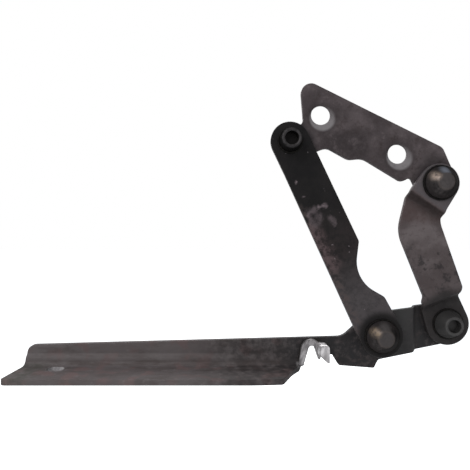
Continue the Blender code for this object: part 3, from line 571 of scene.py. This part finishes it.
bracket_paint = bracket_primer()
print("made", bracket_paint.name)

# %% [markdown]
# ## Scuffs drawn as short lines
# A few pale scuffs lie near the middle of the left link. Each scuff is a short line, and the
# shader measures the distance to it. The place is first pushed about by fine noise, so that the
# line comes out ragged.

# %% Scuffs on the left link
# A row holds where a scuff starts and ends, as x and z, and its width, in mm, and its strength.
SCUFFS = (
    ((84.8, 85.6), (88.0, 87.6), 3.4, 0.35),
    ((90.2, 88.6), (93.4, 89.8), 2.2, 0.60),
    ((90.2, 84.0), (87.6, 78.4), 4.2, 0.30),
    ((96.0, 83.0), (97.8, 80.0), 3.0, 0.34),
    ((84.6, 84.4), (85.8, 80.6), 2.4, 0.28),
    ((77.4, 101.8), (77.6, 101.7), 1.5, 0.70),
    ((81.3, 94.3), (81.5, 94.2), 1.2, 0.45),
)
BROAD_RUB = ((87.0, 75.0), (97.0, 58.0), 9 * MM)
FRONT_FACE_DEPTHS = (0.0055, 0.0045)


def ragged(tree, coords, grain, reach):
    """Coordinates pushed about by noise, so that a drawn mark gets an uneven edge."""
    pattern = add(tree, "ShaderNodeTexNoise", {"Vector": coords, "Scale": 1.0 / grain, "Detail": 3.0})
    about = {0: pattern.outputs["Color"], 1: (0.5, 0.5, 0.5)}
    centred = add(tree, "ShaderNodeVectorMath", about, operation="SUBTRACT")
    push = add(tree, "ShaderNodeVectorMath", {0: centred.outputs[0], "Scale": reach}, operation="SCALE")
    return add(tree, "ShaderNodeVectorMath", {0: coords, 1: push.outputs[0]}, operation="ADD").outputs[0]


def stroke(tree, place, start, end, width):
    """1 along a straight scuff between two points, each given as x and z in millimetres."""
    first = Vector((start[0] * MM, 0, start[1] * MM))
    run = Vector((end[0] * MM, 0, end[1] * MM)) - first
    flat = add(tree, "ShaderNodeVectorMath", {0: place, 1: (1, 0, 1)}, operation="MULTIPLY")
    away = add(tree, "ShaderNodeVectorMath", {0: flat.outputs[0], 1: first}, operation="SUBTRACT").outputs[0]
    share = add(tree, "ShaderNodeVectorMath", {0: away, 1: run / run.length_squared}, operation="DOT_PRODUCT")
    share = add(tree, "ShaderNodeClamp", {"Value": share.outputs["Value"]}).outputs[0]
    foot = add(tree, "ShaderNodeVectorMath", {0: run, "Scale": share}, operation="SCALE").outputs[0]
    gap = add(tree, "ShaderNodeVectorMath", {0: away, 1: foot}, operation="DISTANCE")
    return window(tree, gap.outputs["Value"], width * 0.1, width * 0.8, 1.0, 0.0)


def scuffed(tree, coords, colour, blotches):
    """Pale scuffs on the front face, and a broad brown rub below them."""
    front = fade(tree, coords, AWAY, *FRONT_FACE_DEPTHS)
    place = ragged(tree, coords, 2.4 * MM, 3.4 * MM)
    patchy = window(tree, noise(tree, coords, 1.8 * MM, 3.0, 0.6, shift=3.3), 0.30, 0.60, 0.35, 1.0)
    for start, end, width, strength in SCUFFS:
        mark = times(tree, stroke(tree, place, start, end, width * MM), strength)
        mark = times(tree, mark, front)
        colour = layer(tree, colour, "#6A5F62", times(tree, mark, patchy))
    wear_and_highlight = stroke(tree, place, *BROAD_RUB)
    wear_and_highlight = times(tree, wear_and_highlight, window(tree, blotches, 0.38, 0.62, 0.15, 0.8))
    return layer(tree, colour, "#473B3C", wear_and_highlight)


print("scuffs to draw:", len(SCUFFS))

# %% [markdown]
# ## Black enamel on the left link
# The left link is dipped in black enamel. The enamel is smoother than primer, so it keeps a faint
# gloss. Its lower half has worn to a brown undercoat, most of all along the left edge, its lower
# end has greyed with dust, and grease has turned it black again round the lower pin.

# %% Enamel for the left link
LINK_FOOT = pivot["left_low"]
LINK_UP = (pivot["left_top"] - LINK_FOOT).normalized()
LINK_LEFT = Vector((-LINK_UP.z, 0, LINK_UP.x))


def up_link(tree, coords, start, end, high=1.0):
    """Goes from 0 to high between two distances from the lower pin, measured up the left link."""
    pin = LINK_FOOT.dot(LINK_UP)
    return fade(tree, coords, tuple(LINK_UP), pin + start, pin + end, 0.0, high)


def worn_low(tree, coords, colour, blotches):
    """Brown undercoat on the lower half, dust on the lower end, and wear along the left edge."""
    brown = up_link(tree, coords, 0.082, 0.050, 0.75)
    brown = times(tree, brown, window(tree, blotches, 0.34, 0.62, 0.25, 1.0))
    colour = layer(tree, colour, "#241F1F", brown)
    dusty = up_link(tree, coords, 0.052, 0.020, 0.9)
    dusty = times(tree, dusty, window(tree, blotches, 0.28, 0.60, 0.6, 1.0))
    colour = layer(tree, colour, "#3E3A3B", dusty)
    axis = LINK_FOOT.dot(LINK_LEFT)
    edge = fade(tree, coords, tuple(LINK_LEFT), axis + 5.0 * MM, axis + 9.0 * MM, 0.0, 0.8)
    edge = times(tree, edge, window(tree, blotches, 0.44, 0.62))
    edge = times(tree, edge, up_link(tree, coords, 0.088, 0.070))
    return layer(tree, colour, "#403837", edge)


def left_link_enamel():
    material, tree, shader, coords = start_material("scuffed_black_enamel", 0.46, 0.0, 0.08)
    clouds = noise(tree, coords, 16 * MM, 3.0, shift=2.3)
    blotches = noise(tree, coords, 3.0 * MM, 5.0, 0.65, shift=0.9)
    grain = noise(tree, coords, 0.5 * MM, 2.0)
    colour = layer(tree, "#0B0A0B", "#151313", window(tree, clouds, 0.35, 0.68))
    colour = worn_low(tree, coords, colour, blotches)
    colour = scuffed(tree, coords, colour, blotches)
    specks = window(tree, noise(tree, coords, 1.9 * MM, 1.0, 0.5, shift=5.0), 0.765, 0.80, 0.0, 0.6)
    colour = layer(tree, colour, "#6C6466", specks)
    grease = ring_fade(tree, coords, LINK_FOOT, 10.5 * MM, 15 * MM, 0.95, 0.0)
    colour = layer(tree, colour, "#0E0D0D", grease)
    colour = worn_edges(tree, colour, "#5C5353", blotches, 0.44, 0.60, 0.7)
    rough = window(tree, blotches, 0.3, 0.7, 0.38, 0.62)
    finish_material(tree, shader, colour, rough, grain, 0.03 * MM)
    return material


left_link_paint = left_link_enamel()
print("made", left_link_paint.name)

# %% [markdown]
# ## Worn paint on the right link
# The gooseneck's flat belly has been polished by dust to a brown-grey. Its two steps hold dark
# dirt and painted shade: a painted shadow lies under the upper step, and grease and painted shade
# darken the lower step round the lower pin. The paint turns brown under the upper pivot, and the
# lower half is spotted with black, as where drops of grease have dried. Above the upper step the
# paint is a cooler grey.

# %% Paint for the right link
# The upper step runs square to this direction, and the paint changes this far along it, in metres.
STEP_ACROSS = (0.563, 0.0, 0.826)
STEP_AT = 0.1584
DULL_HEIGHTS = (0.066, 0.052)
BROWN_HEIGHTS = (0.078, 0.084)
SPOT_HEIGHTS = (0.074, 0.062)


def belly(tree, coords, clouds, blotches, grain):
    """Brown-grey paint, dull low down, brown near the top and spotted on its lower half."""
    colour = layer(tree, "#403939", "#514A4A", window(tree, clouds, 0.38, 0.64))
    colour = layer(tree, colour, "#332C2B", window(tree, blotches, 0.52, 0.74, 0.0, 0.7))
    colour = layer(tree, colour, "#352E2E", fade(tree, coords, UP, *DULL_HEIGHTS, 0.0, 0.5))
    colour = layer(tree, colour, "#6A6363", window(tree, grain, 0.64, 0.80, 0.0, 0.35))
    brown = fade(tree, coords, UP, *BROWN_HEIGHTS, 0.0, 0.75)
    brown = times(tree, brown, window(tree, blotches, 0.3, 0.6, 0.6, 1.0))
    colour = layer(tree, colour, "#3A2E2D", brown)
    spots = window(tree, noise(tree, coords, 5.0 * MM, 3.0, 0.6, shift=7.7), 0.50, 0.66)
    spots = times(tree, spots, fade(tree, coords, UP, *SPOT_HEIGHTS, 0.0, 0.75))
    return layer(tree, colour, "#1E1B1C", spots)


def step_dirt_and_shade(tree, coords, colour, clouds, blotches):
    """Grey paint above the upper step, painted shadow and dirt below it, and grease round both pins, with
    painted shade round the lower one.
    """
    above = fade(tree, coords, STEP_ACROSS, STEP_AT, STEP_AT + 2.2 * MM)
    above = times(tree, above, window(tree, blotches, 0.34, 0.62, 0.55, 0.95))
    colour = layer(tree, colour, "#444042", above)
    # Painted shadow and dirt under the upper step.
    below = fade(tree, coords, STEP_ACROSS, STEP_AT - 8 * MM, STEP_AT - 0.5 * MM, 0.0, 0.85)
    below = times(tree, below, fade(tree, coords, STEP_ACROSS, STEP_AT + 1.0 * MM, STEP_AT))
    below = times(tree, below, window(tree, clouds, 0.3, 0.6, 0.45, 1.0))
    colour = layer(tree, colour, "#1E1817", below)
    # Grease and painted shade round the lower pin and its step, and grease round the upper pin.
    low = ring_fade(tree, coords, pivot["right_low"], 16 * MM, 22 * MM, 0.92, 0.0)
    high = ring_fade(tree, coords, pivot["right_top"], 8.5 * MM, 11 * MM, 0.6, 0.0)
    return layer(tree, colour, "#1D1B1B", either(tree, low, high))


def right_link_coat():
    material, tree, shader, coords = start_material("polished_grey_paint", 0.62, 0.0, 0.12)
    clouds = noise(tree, coords, 12 * MM, 3.0, shift=3.1)
    blotches = noise(tree, coords, 2.6 * MM, 5.0, 0.65, shift=1.3)
    grain = noise(tree, coords, 0.5 * MM, 2.0)
    colour = belly(tree, coords, clouds, blotches, grain)
    colour = step_dirt_and_shade(tree, coords, colour, clouds, blotches)
    # Painted shade and dirt in the inner corners.
    colour = layer(tree, colour, "#1B1818", inner_corners(tree, 4 * MM))
    colour = worn_edges(tree, colour, "#736B6A", blotches, 0.42, 0.60, 0.6)
    rough = window(tree, blotches, 0.3, 0.7, 0.50, 0.74)
    finish_material(tree, shader, colour, rough, grain, 0.04 * MM)
    return material


right_link_paint = right_link_coat()
print("made", right_link_paint.name)

# %% [markdown]
# ## The rivets' heads
# The rivets are mild steel, formed cold and then oiled, so they are dark metal with a soft sheen.
# Two heads are domed with a small flat top, with painted shade on their lower right side. On the
# upper left shoulder old oil has baked to a warm film, painted pale there as a highlight, the top of
# the dome carries a painted reflection of the sky in a cool grey, and grease has crept up the outer
# ring. The flat top gets an even grey of its own and its rim a paler ring, painted shade and a
# painted highlight that set it apart from the dome. The other two heads are hollow collars, black
# with old grease, and only their rims are worn. All these places are measured from the axis of the pin.

# %% Stains, painted light and painted shade on the heads
# A domed row holds a pin, the colour of its warm film with its painted highlight, and the colour of the
# painted sky reflection on its top.
DOMED = (("left_low", "#62564A", "#464343"), ("right_top", "#73675F", "#6C7079"))
# A blackened row holds a pin, the colour of its grease and the colour of its worn rim.
BLACKENED = (("left_top", "#141313", "#413F40"), ("right_low", "#363535", "#464545"))
FRONT_HEAD_DEPTHS = (0.0060, 0.0050)
SHADED_SIDE = (1, 0, -0.5)
SKY_REFLECTION_PLACE = Vector((0.2 * MM, 0, 5.8 * MM))
FILM_HIGHLIGHT_PLACE = Vector((-4.9 * MM, 0, 3.0 * MM))


def band(tree, coords, centre, inside, outside, strength=1.0):
    """A ring with soft edges, each given by two radii, that is 0 at every other pin."""
    inner = ring_fade(tree, coords, centre, *inside, 0.0, 1.0)
    return times(tree, inner, ring_fade(tree, coords, centre, *outside, strength, 0.0))


def head_skirt(tree, coords, pin):
    """The outer ring of a domed head, where grease has crept up."""
    return band(tree, coords, pivot[pin], (6.2 * MM, 7.4 * MM), (9.5 * MM, 11 * MM))


def domed_head(tree, coords, colour, blotches, row):
    """Painted shade on one side, grease on the skirt, a painted sky reflection, a painted flat top and rim,
    and a warm oil stain with a painted highlight.
    """
    pin, warm, sky_colour = row
    centre = pivot[pin]
    front = fade(tree, coords, AWAY, *FRONT_HEAD_DEPTHS)
    across = centre.dot(Vector(SHADED_SIDE))
    # Painted shade on the lower right side of the dome.
    shade = fade(tree, coords, SHADED_SIDE, across, across + 6 * MM, 0.0, 0.8)
    shade = times(tree, shade, ring_fade(tree, coords, centre, 8.6 * MM, 9.0 * MM))
    colour = layer(tree, colour, "#171515", times(tree, shade, front))
    skirt = times(tree, head_skirt(tree, coords, pin), front)
    colour = layer(tree, colour, "#282525", times(tree, skirt, 0.8))
    # A painted reflection of the sky on the top of the dome.
    sky_reflection = ring_fade(tree, coords, centre + SKY_REFLECTION_PLACE, 0.4 * MM, 3.8 * MM, 0.8, 0.0)
    colour = layer(tree, colour, sky_colour, times(tree, sky_reflection, front))
    # An even painted grey on the flat top as painted shade, and a painted highlight on its rim.
    flat = ring_fade(tree, coords, centre, 3.9 * MM, 4.3 * MM, 0.9, 0.0)
    colour = layer(tree, colour, "#3A3737", flat)
    rim = band(tree, coords, centre, (3.5 * MM, 3.9 * MM), (4.3 * MM, 5.0 * MM), 0.6)
    colour = layer(tree, colour, "#403B39", rim)
    # A warm film of old oil, painted pale as a highlight on the upper left shoulder.
    film_and_highlight = ring_fade(tree, coords, centre + FILM_HIGHLIGHT_PLACE, 0.6 * MM, 3.7 * MM, 0.85, 0.0)
    film_and_highlight = times(tree, film_and_highlight, front)
    film_and_highlight = times(tree, film_and_highlight, window(tree, blotches, 0.34, 0.56, 0.3, 1.0))
    return layer(tree, colour, warm, film_and_highlight)


def blackened_head(tree, coords, colour, blotches, row):
    """Black grease over the whole collar, and a worn rim round its hollow."""
    pin, black, worn = row
    near = ring_fade(tree, coords, pivot[pin], 9 * MM, 11 * MM, 0.95, 0.0)
    colour = layer(tree, colour, black, near)
    rim = band(tree, coords, pivot[pin], (3.4 * MM, 3.8 * MM), (4.6 * MM, 5.6 * MM), 0.6)
    rim = times(tree, rim, window(tree, blotches, 0.3, 0.6, 0.3, 1.0))
    return layer(tree, colour, worn, rim)


print("domed heads:", len(DOMED), "blackened heads:", len(BLACKENED))

# %% [markdown]
# ## Rivets, washers and bushes
# All three are metal under a blotchy film, so one function makes them. The washers are plated and
# duller than the rivets. The bushes are bronze, and only their rims show. Clean metal mirrors the
# room at a grazing angle, and grime stops that, so the tint of that reflection is a mid grey.

# %% Metals of the pivots
GRIMY_TINT = "#868483"
METALLIC = 0.85
METAL_SPECULAR = 0.5
COLLAR_ROUGHNESS = 0.66
SKIRT_ROUGHNESS = 0.75


def filmed_metal(name, bright, dull, roughness, domed=(), blackened=()):
    """Metal with a blotchy filmed surface, and with stains, painted light and painted shade on the heads
    whose rows are given.
    """
    material, tree, shader, coords = start_material(name, roughness, METALLIC, METAL_SPECULAR)
    shader.inputs["Specular Tint"].default_value = paint(GRIMY_TINT)
    blotches = noise(tree, coords, 1.8 * MM, 4.0, 0.6)
    turning = noise(tree, coords, 0.35 * MM, 2.0, stretch=(1.0, 0.1, 1.0))
    colour = layer(tree, bright, dull, window(tree, blotches, 0.36, 0.64))
    for row in domed:
        colour = domed_head(tree, coords, colour, blotches, row)
    for row in blackened:
        colour = blackened_head(tree, coords, colour, blotches, row)
    # Painted shade and dirt in the inner corners.
    corners = inner_corners(tree, 3 * MM, 0.80, 0.35)
    colour = layer(tree, colour, "#1A1818", times(tree, corners, 0.6))
    rough = window(tree, blotches, 0.3, 0.7, roughness - 0.08, roughness + 0.14)
    for pin, *_ in blackened:
        near = ring_fade(tree, coords, pivot[pin], 9 * MM, 11 * MM, COLLAR_ROUGHNESS, 0.0)
        rough = either(tree, rough, near)
    for pin, *_ in domed:
        rough = either(tree, rough, times(tree, head_skirt(tree, coords, pin), SKIRT_ROUGHNESS))
    finish_material(tree, shader, colour, rough, turning, 0.02 * MM)
    return material


rivet_steel = filmed_metal("oiled_rivet_steel", "#302D2D", "#211F1F", 0.48, DOMED, BLACKENED)
washer_steel = filmed_metal("dull_zinc_plate", "#7C7A76", "#5F5A54", 0.45)
bush_bronze = filmed_metal("dull_bush_bronze", "#8A6B45", "#5E4A36", 0.42)
print("made", rivet_steel.name, washer_steel.name, bush_bronze.name)

# %% [markdown]
# ## Soft edges on the solids
# The solids come as loose triangles. Each one is copied, its doubled corners are merged, its hard
# edges get a hair-fine bevel, and its normals are weighted by face area, so that flats stay flat
# and rounded edges catch the light. The copy then stands for the solid. A rivet's head has shallow
# corners, such as the rim of its flat top, so a smaller angle counts as a hard edge there.

# %% Dress the solids
HAIR_EDGE = 0.12 * MM
MERGE_REACH = 0.002 * MM
CRISP_RIVET = math.radians(25)
CRISP_SHEET = math.radians(50)


def merged_copy(node, material, crisp):
    """A smooth-shaded copy of a solid's mesh, with its doubled corners merged."""
    mesh = bmesh.new()
    mesh.from_mesh(frame["nodes"][node].data)
    bmesh.ops.remove_doubles(mesh, verts=mesh.verts[:], dist=MERGE_REACH)
    data = bpy.data.meshes.new(node + "_finish")
    mesh.to_mesh(data)
    mesh.free()
    data.materials.clear()
    data.materials.append(material)
    data.shade_smooth()
    data.set_sharp_from_angle(angle=crisp)
    return data


def dress(node, body, slot, material):
    """A soft-edged copy of a solid, in its place and riding on its body."""
    crisp = CRISP_RIVET if slot == "rivet_steel" else CRISP_SHEET
    piece = bpy.data.objects.new(node + "_finish", merged_copy(node, material, crisp))
    scene.collection.objects.link(piece)
    soften = piece.modifiers.new("soft_edges", "BEVEL")
    soften.width = HAIR_EDGE
    soften.segments = 2
    soften.limit_method = "ANGLE"
    soften.angle_limit = crisp
    even = piece.modifiers.new("flat_stays_flat", "WEIGHTED_NORMAL")
    even.keep_sharp = True
    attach(piece, body)
    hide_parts(node)


slots = {row["node"]: row["material_slot"] for row in frame["record"]["subparts"]}
finishes = {
    "arm_paint": arm_paint,
    "bracket_paint": bracket_paint,
    "left_link_paint": left_link_paint,
    "right_link_paint": right_link_paint,
    "rivet_steel": rivet_steel,
    "washer_steel": washer_steel,
    "bush_bronze": bush_bronze,
}
for body, nodes in frame["record"]["behaviour"]["bodies"].items():
    for node in nodes:
        dress(node, body, slots[node], finishes[slots[node]])
    print("dressed on", body + ":", len(nodes))

# %% [markdown]
# ## Old grease round the pins
# Grease that worked its way out of each joint has dried to a black bead round the foot of the head,
# and grit has stuck in it. The same thing happens at all four pins, only the radius changes, so one
# Geometry Nodes tree makes them all. It sweeps a small circle round a large one, pushes the surface
# about with noise, scatters grit on it from a fixed seed, and makes everything real at the end.
# The radius of each head is measured on its solid, and the bead lies on the link under it.

# %% The black grease
def dried_grease():
    material, tree, shader, coords = start_material("dried_black_grease", 0.65, 0.0, 0.06)
    lumps = noise(tree, coords, 1.2 * MM, 3.0)
    colour = layer(tree, "#080707", "#151311", window(tree, lumps, 0.40, 0.66))
    rough = window(tree, lumps, 0.3, 0.7, 0.55, 0.80)
    finish_material(tree, shader, colour, rough, lumps, 0.15 * MM)
    return material


grease = dried_grease()
print("made", grease.name)

# %% One tree for every bead
BEAD_INPUTS = (
    ("Radius", "NodeSocketFloat"),
    ("Thickness", "NodeSocketFloat"),
    ("Unevenness", "NodeSocketFloat"),
    ("Place", "NodeSocketVector"),
    ("Seed", "NodeSocketInt"),
    ("Finish", "NodeSocketMaterial"),
)
LARGE_CIRCLE_STEPS = 96
SMALL_CIRCLE_STEPS = 10
LUMP_SIZE = 2.5 * MM
LUMP_LEVEL = 0.45
LUMP_GAIN = 3.0
CRUMB_RADIUS = 0.16 * MM
CRUMB_SCALES = (0.4, 1.3)
CRUMBS_PER_SQUARE_METRE = 260000.0


def lumpy_sweep(tree, given):
    """A small circle swept round a large one, with its surface pushed in and out by noise."""
    path = {"Resolution": LARGE_CIRCLE_STEPS, "Radius": given["Radius"]}
    path = add(tree, "GeometryNodeCurvePrimitiveCircle", path)
    section = {"Resolution": SMALL_CIRCLE_STEPS, "Radius": given["Thickness"]}
    section = add(tree, "GeometryNodeCurvePrimitiveCircle", section)
    swept = {"Curve": path.outputs[0], "Profile Curve": section.outputs[0]}
    swept = add(tree, "GeometryNodeCurveToMesh", swept)
    here = add(tree, "GeometryNodeInputPosition")
    moved = add(tree, "ShaderNodeVectorMath", {0: here.outputs[0], 1: given["Place"]}, operation="ADD")
    lumps = {"Vector": moved.outputs[0], "Scale": 1 / LUMP_SIZE, "Detail": 2.0}
    lumps = add(tree, "ShaderNodeTexNoise", lumps)
    centred = {0: lumps.outputs["Fac"], 1: LUMP_LEVEL}
    centred = add(tree, "ShaderNodeMath", centred, operation="SUBTRACT")
    height = times(tree, times(tree, centred.outputs[0], given["Unevenness"]), LUMP_GAIN)
    outward = add(tree, "GeometryNodeInputNormal")
    push = add(tree, "ShaderNodeVectorMath", {0: outward.outputs[0], "Scale": height}, operation="SCALE")
    return add(tree, "GeometryNodeSetPosition", {"Geometry": swept.outputs[0], "Offset": push.outputs[0]})


def grit_on(tree, given, lumpy):
    """Small crumbs of uneven size, scattered over the bead."""
    spread = {"Mesh": lumpy.outputs[0], "Density": CRUMBS_PER_SQUARE_METRE, "Seed": given["Seed"]}
    points = add(tree, "GeometryNodeDistributePointsOnFaces", spread, distribute_method="RANDOM")
    crumb = add(tree, "GeometryNodeMeshIcoSphere", {"Radius": CRUMB_RADIUS, "Subdivisions": 1})
    sizes = {2: CRUMB_SCALES[0], 3: CRUMB_SCALES[1], "Seed": given["Seed"]}
    sizes = add(tree, "FunctionNodeRandomValue", sizes, data_type="FLOAT")
    grit = {"Points": points.outputs[0], "Instance": crumb.outputs[0], "Scale": sizes.outputs[1]}
    return add(tree, "GeometryNodeInstanceOnPoints", grit)


def bead_tree():
    """The whole tree, and the identifier of each of its inputs."""
    tree = bpy.data.node_groups.new("grease_bead", "GeometryNodeTree")
    identifiers = {}
    for title, kind in BEAD_INPUTS:
        row = tree.interface.new_socket(title, in_out="INPUT", socket_type=kind)
        identifiers[title] = row.identifier
    tree.interface.new_socket("Geometry", in_out="OUTPUT", socket_type="NodeSocketGeometry")
    given = add(tree, "NodeGroupInput").outputs
    lumpy = lumpy_sweep(tree, given)
    smooth = add(tree, "GeometryNodeSetShadeSmooth", {"Geometry": lumpy.outputs[0]})
    grit = grit_on(tree, given, lumpy)
    both = add(tree, "GeometryNodeJoinGeometry")
    for part in (smooth.outputs[0], grit.outputs[0]):
        tree.links.new(part, both.inputs[0])
    turned = {"Geometry": both.outputs[0], "Rotation": (math.pi / 2, 0, 0), "Translation": given["Place"]}
    turned = add(tree, "GeometryNodeTransform", turned)
    real = add(tree, "GeometryNodeRealizeInstances", {0: turned.outputs[0]})
    painted = add(tree, "GeometryNodeSetMaterial", {"Geometry": real.outputs[0], "Material": given["Finish"]})
    add(tree, "NodeGroupOutput", {0: painted.outputs[0]})
    return tree, identifiers


beads, bead_input = bead_tree()
print("bead tree has", len(beads.nodes), "nodes")

# %% Lay the beads
BEAD_THICKNESS = 0.55 * MM
BEAD_UNEVENNESS = 0.30 * MM
BEAD_MARGIN = 0.35 * MM
SAME_RADIUS = 0.05 * MM
BEADS = (
    ("left_top", "left_link", "left_link_paint", 3),
    ("right_top", "right_link", "right_link_paint", 5),
    ("left_low", "left_link", "left_link_paint", 7),
    ("right_low", "right_link", "right_link_paint", 9),
)


def front_foot(node):
    """Radius of a rivet's front head and the depth of its foot, measured on the solid."""
    centre = middle_of(node)
    points = [vertex.co for vertex in frame["nodes"][node].data.vertices if vertex.co.y < centre.y]
    reach = {(round(math.hypot(p.x - centre.x, p.z - centre.z), 5), round(p.y, 5)) for p in points}
    radius = max(r for r, y in reach)
    return radius, max(y for r, y in reach if r > radius - SAME_RADIUS)


def grown_bead(name, values):
    """The bead's geometry as a plain mesh, made on a carrier that is then thrown away."""
    carrier = bpy.data.objects.new("bead_carrier", bpy.data.meshes.new("bead_carrier"))
    scene.collection.objects.link(carrier)
    sweep = carrier.modifiers.new("bead", "NODES")
    sweep.node_group = beads
    for title, value in values.items():
        sweep[bead_input[title]] = value
    graph = bpy.context.evaluated_depsgraph_get()
    data = bpy.data.meshes.new_from_object(carrier.evaluated_get(graph))
    bpy.data.objects.remove(carrier)
    data.name = name
    return data


def lay_bead(pin, body, slot, seed):
    """A bead round one head, riding on the link under it."""
    radius, foot = front_foot(pin + "_rivet")
    values = {
        "Radius": radius + BEAD_MARGIN,
        "Thickness": BEAD_THICKNESS,
        "Unevenness": BEAD_UNEVENNESS,
        "Place": (pivot[pin].x, foot, pivot[pin].z),
        "Seed": seed,
        "Finish": grease,
    }
    data = grown_bead(pin + "_grease", values)
    bead = bpy.data.objects.new(pin + "_grease", data)
    scene.collection.objects.link(bead)
    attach(bead, body)
    print(bead.name, "radius in mm:", round(radius * 1000, 1), "faces:", len(data.polygons))


for row in BEADS:
    lay_bead(*row)
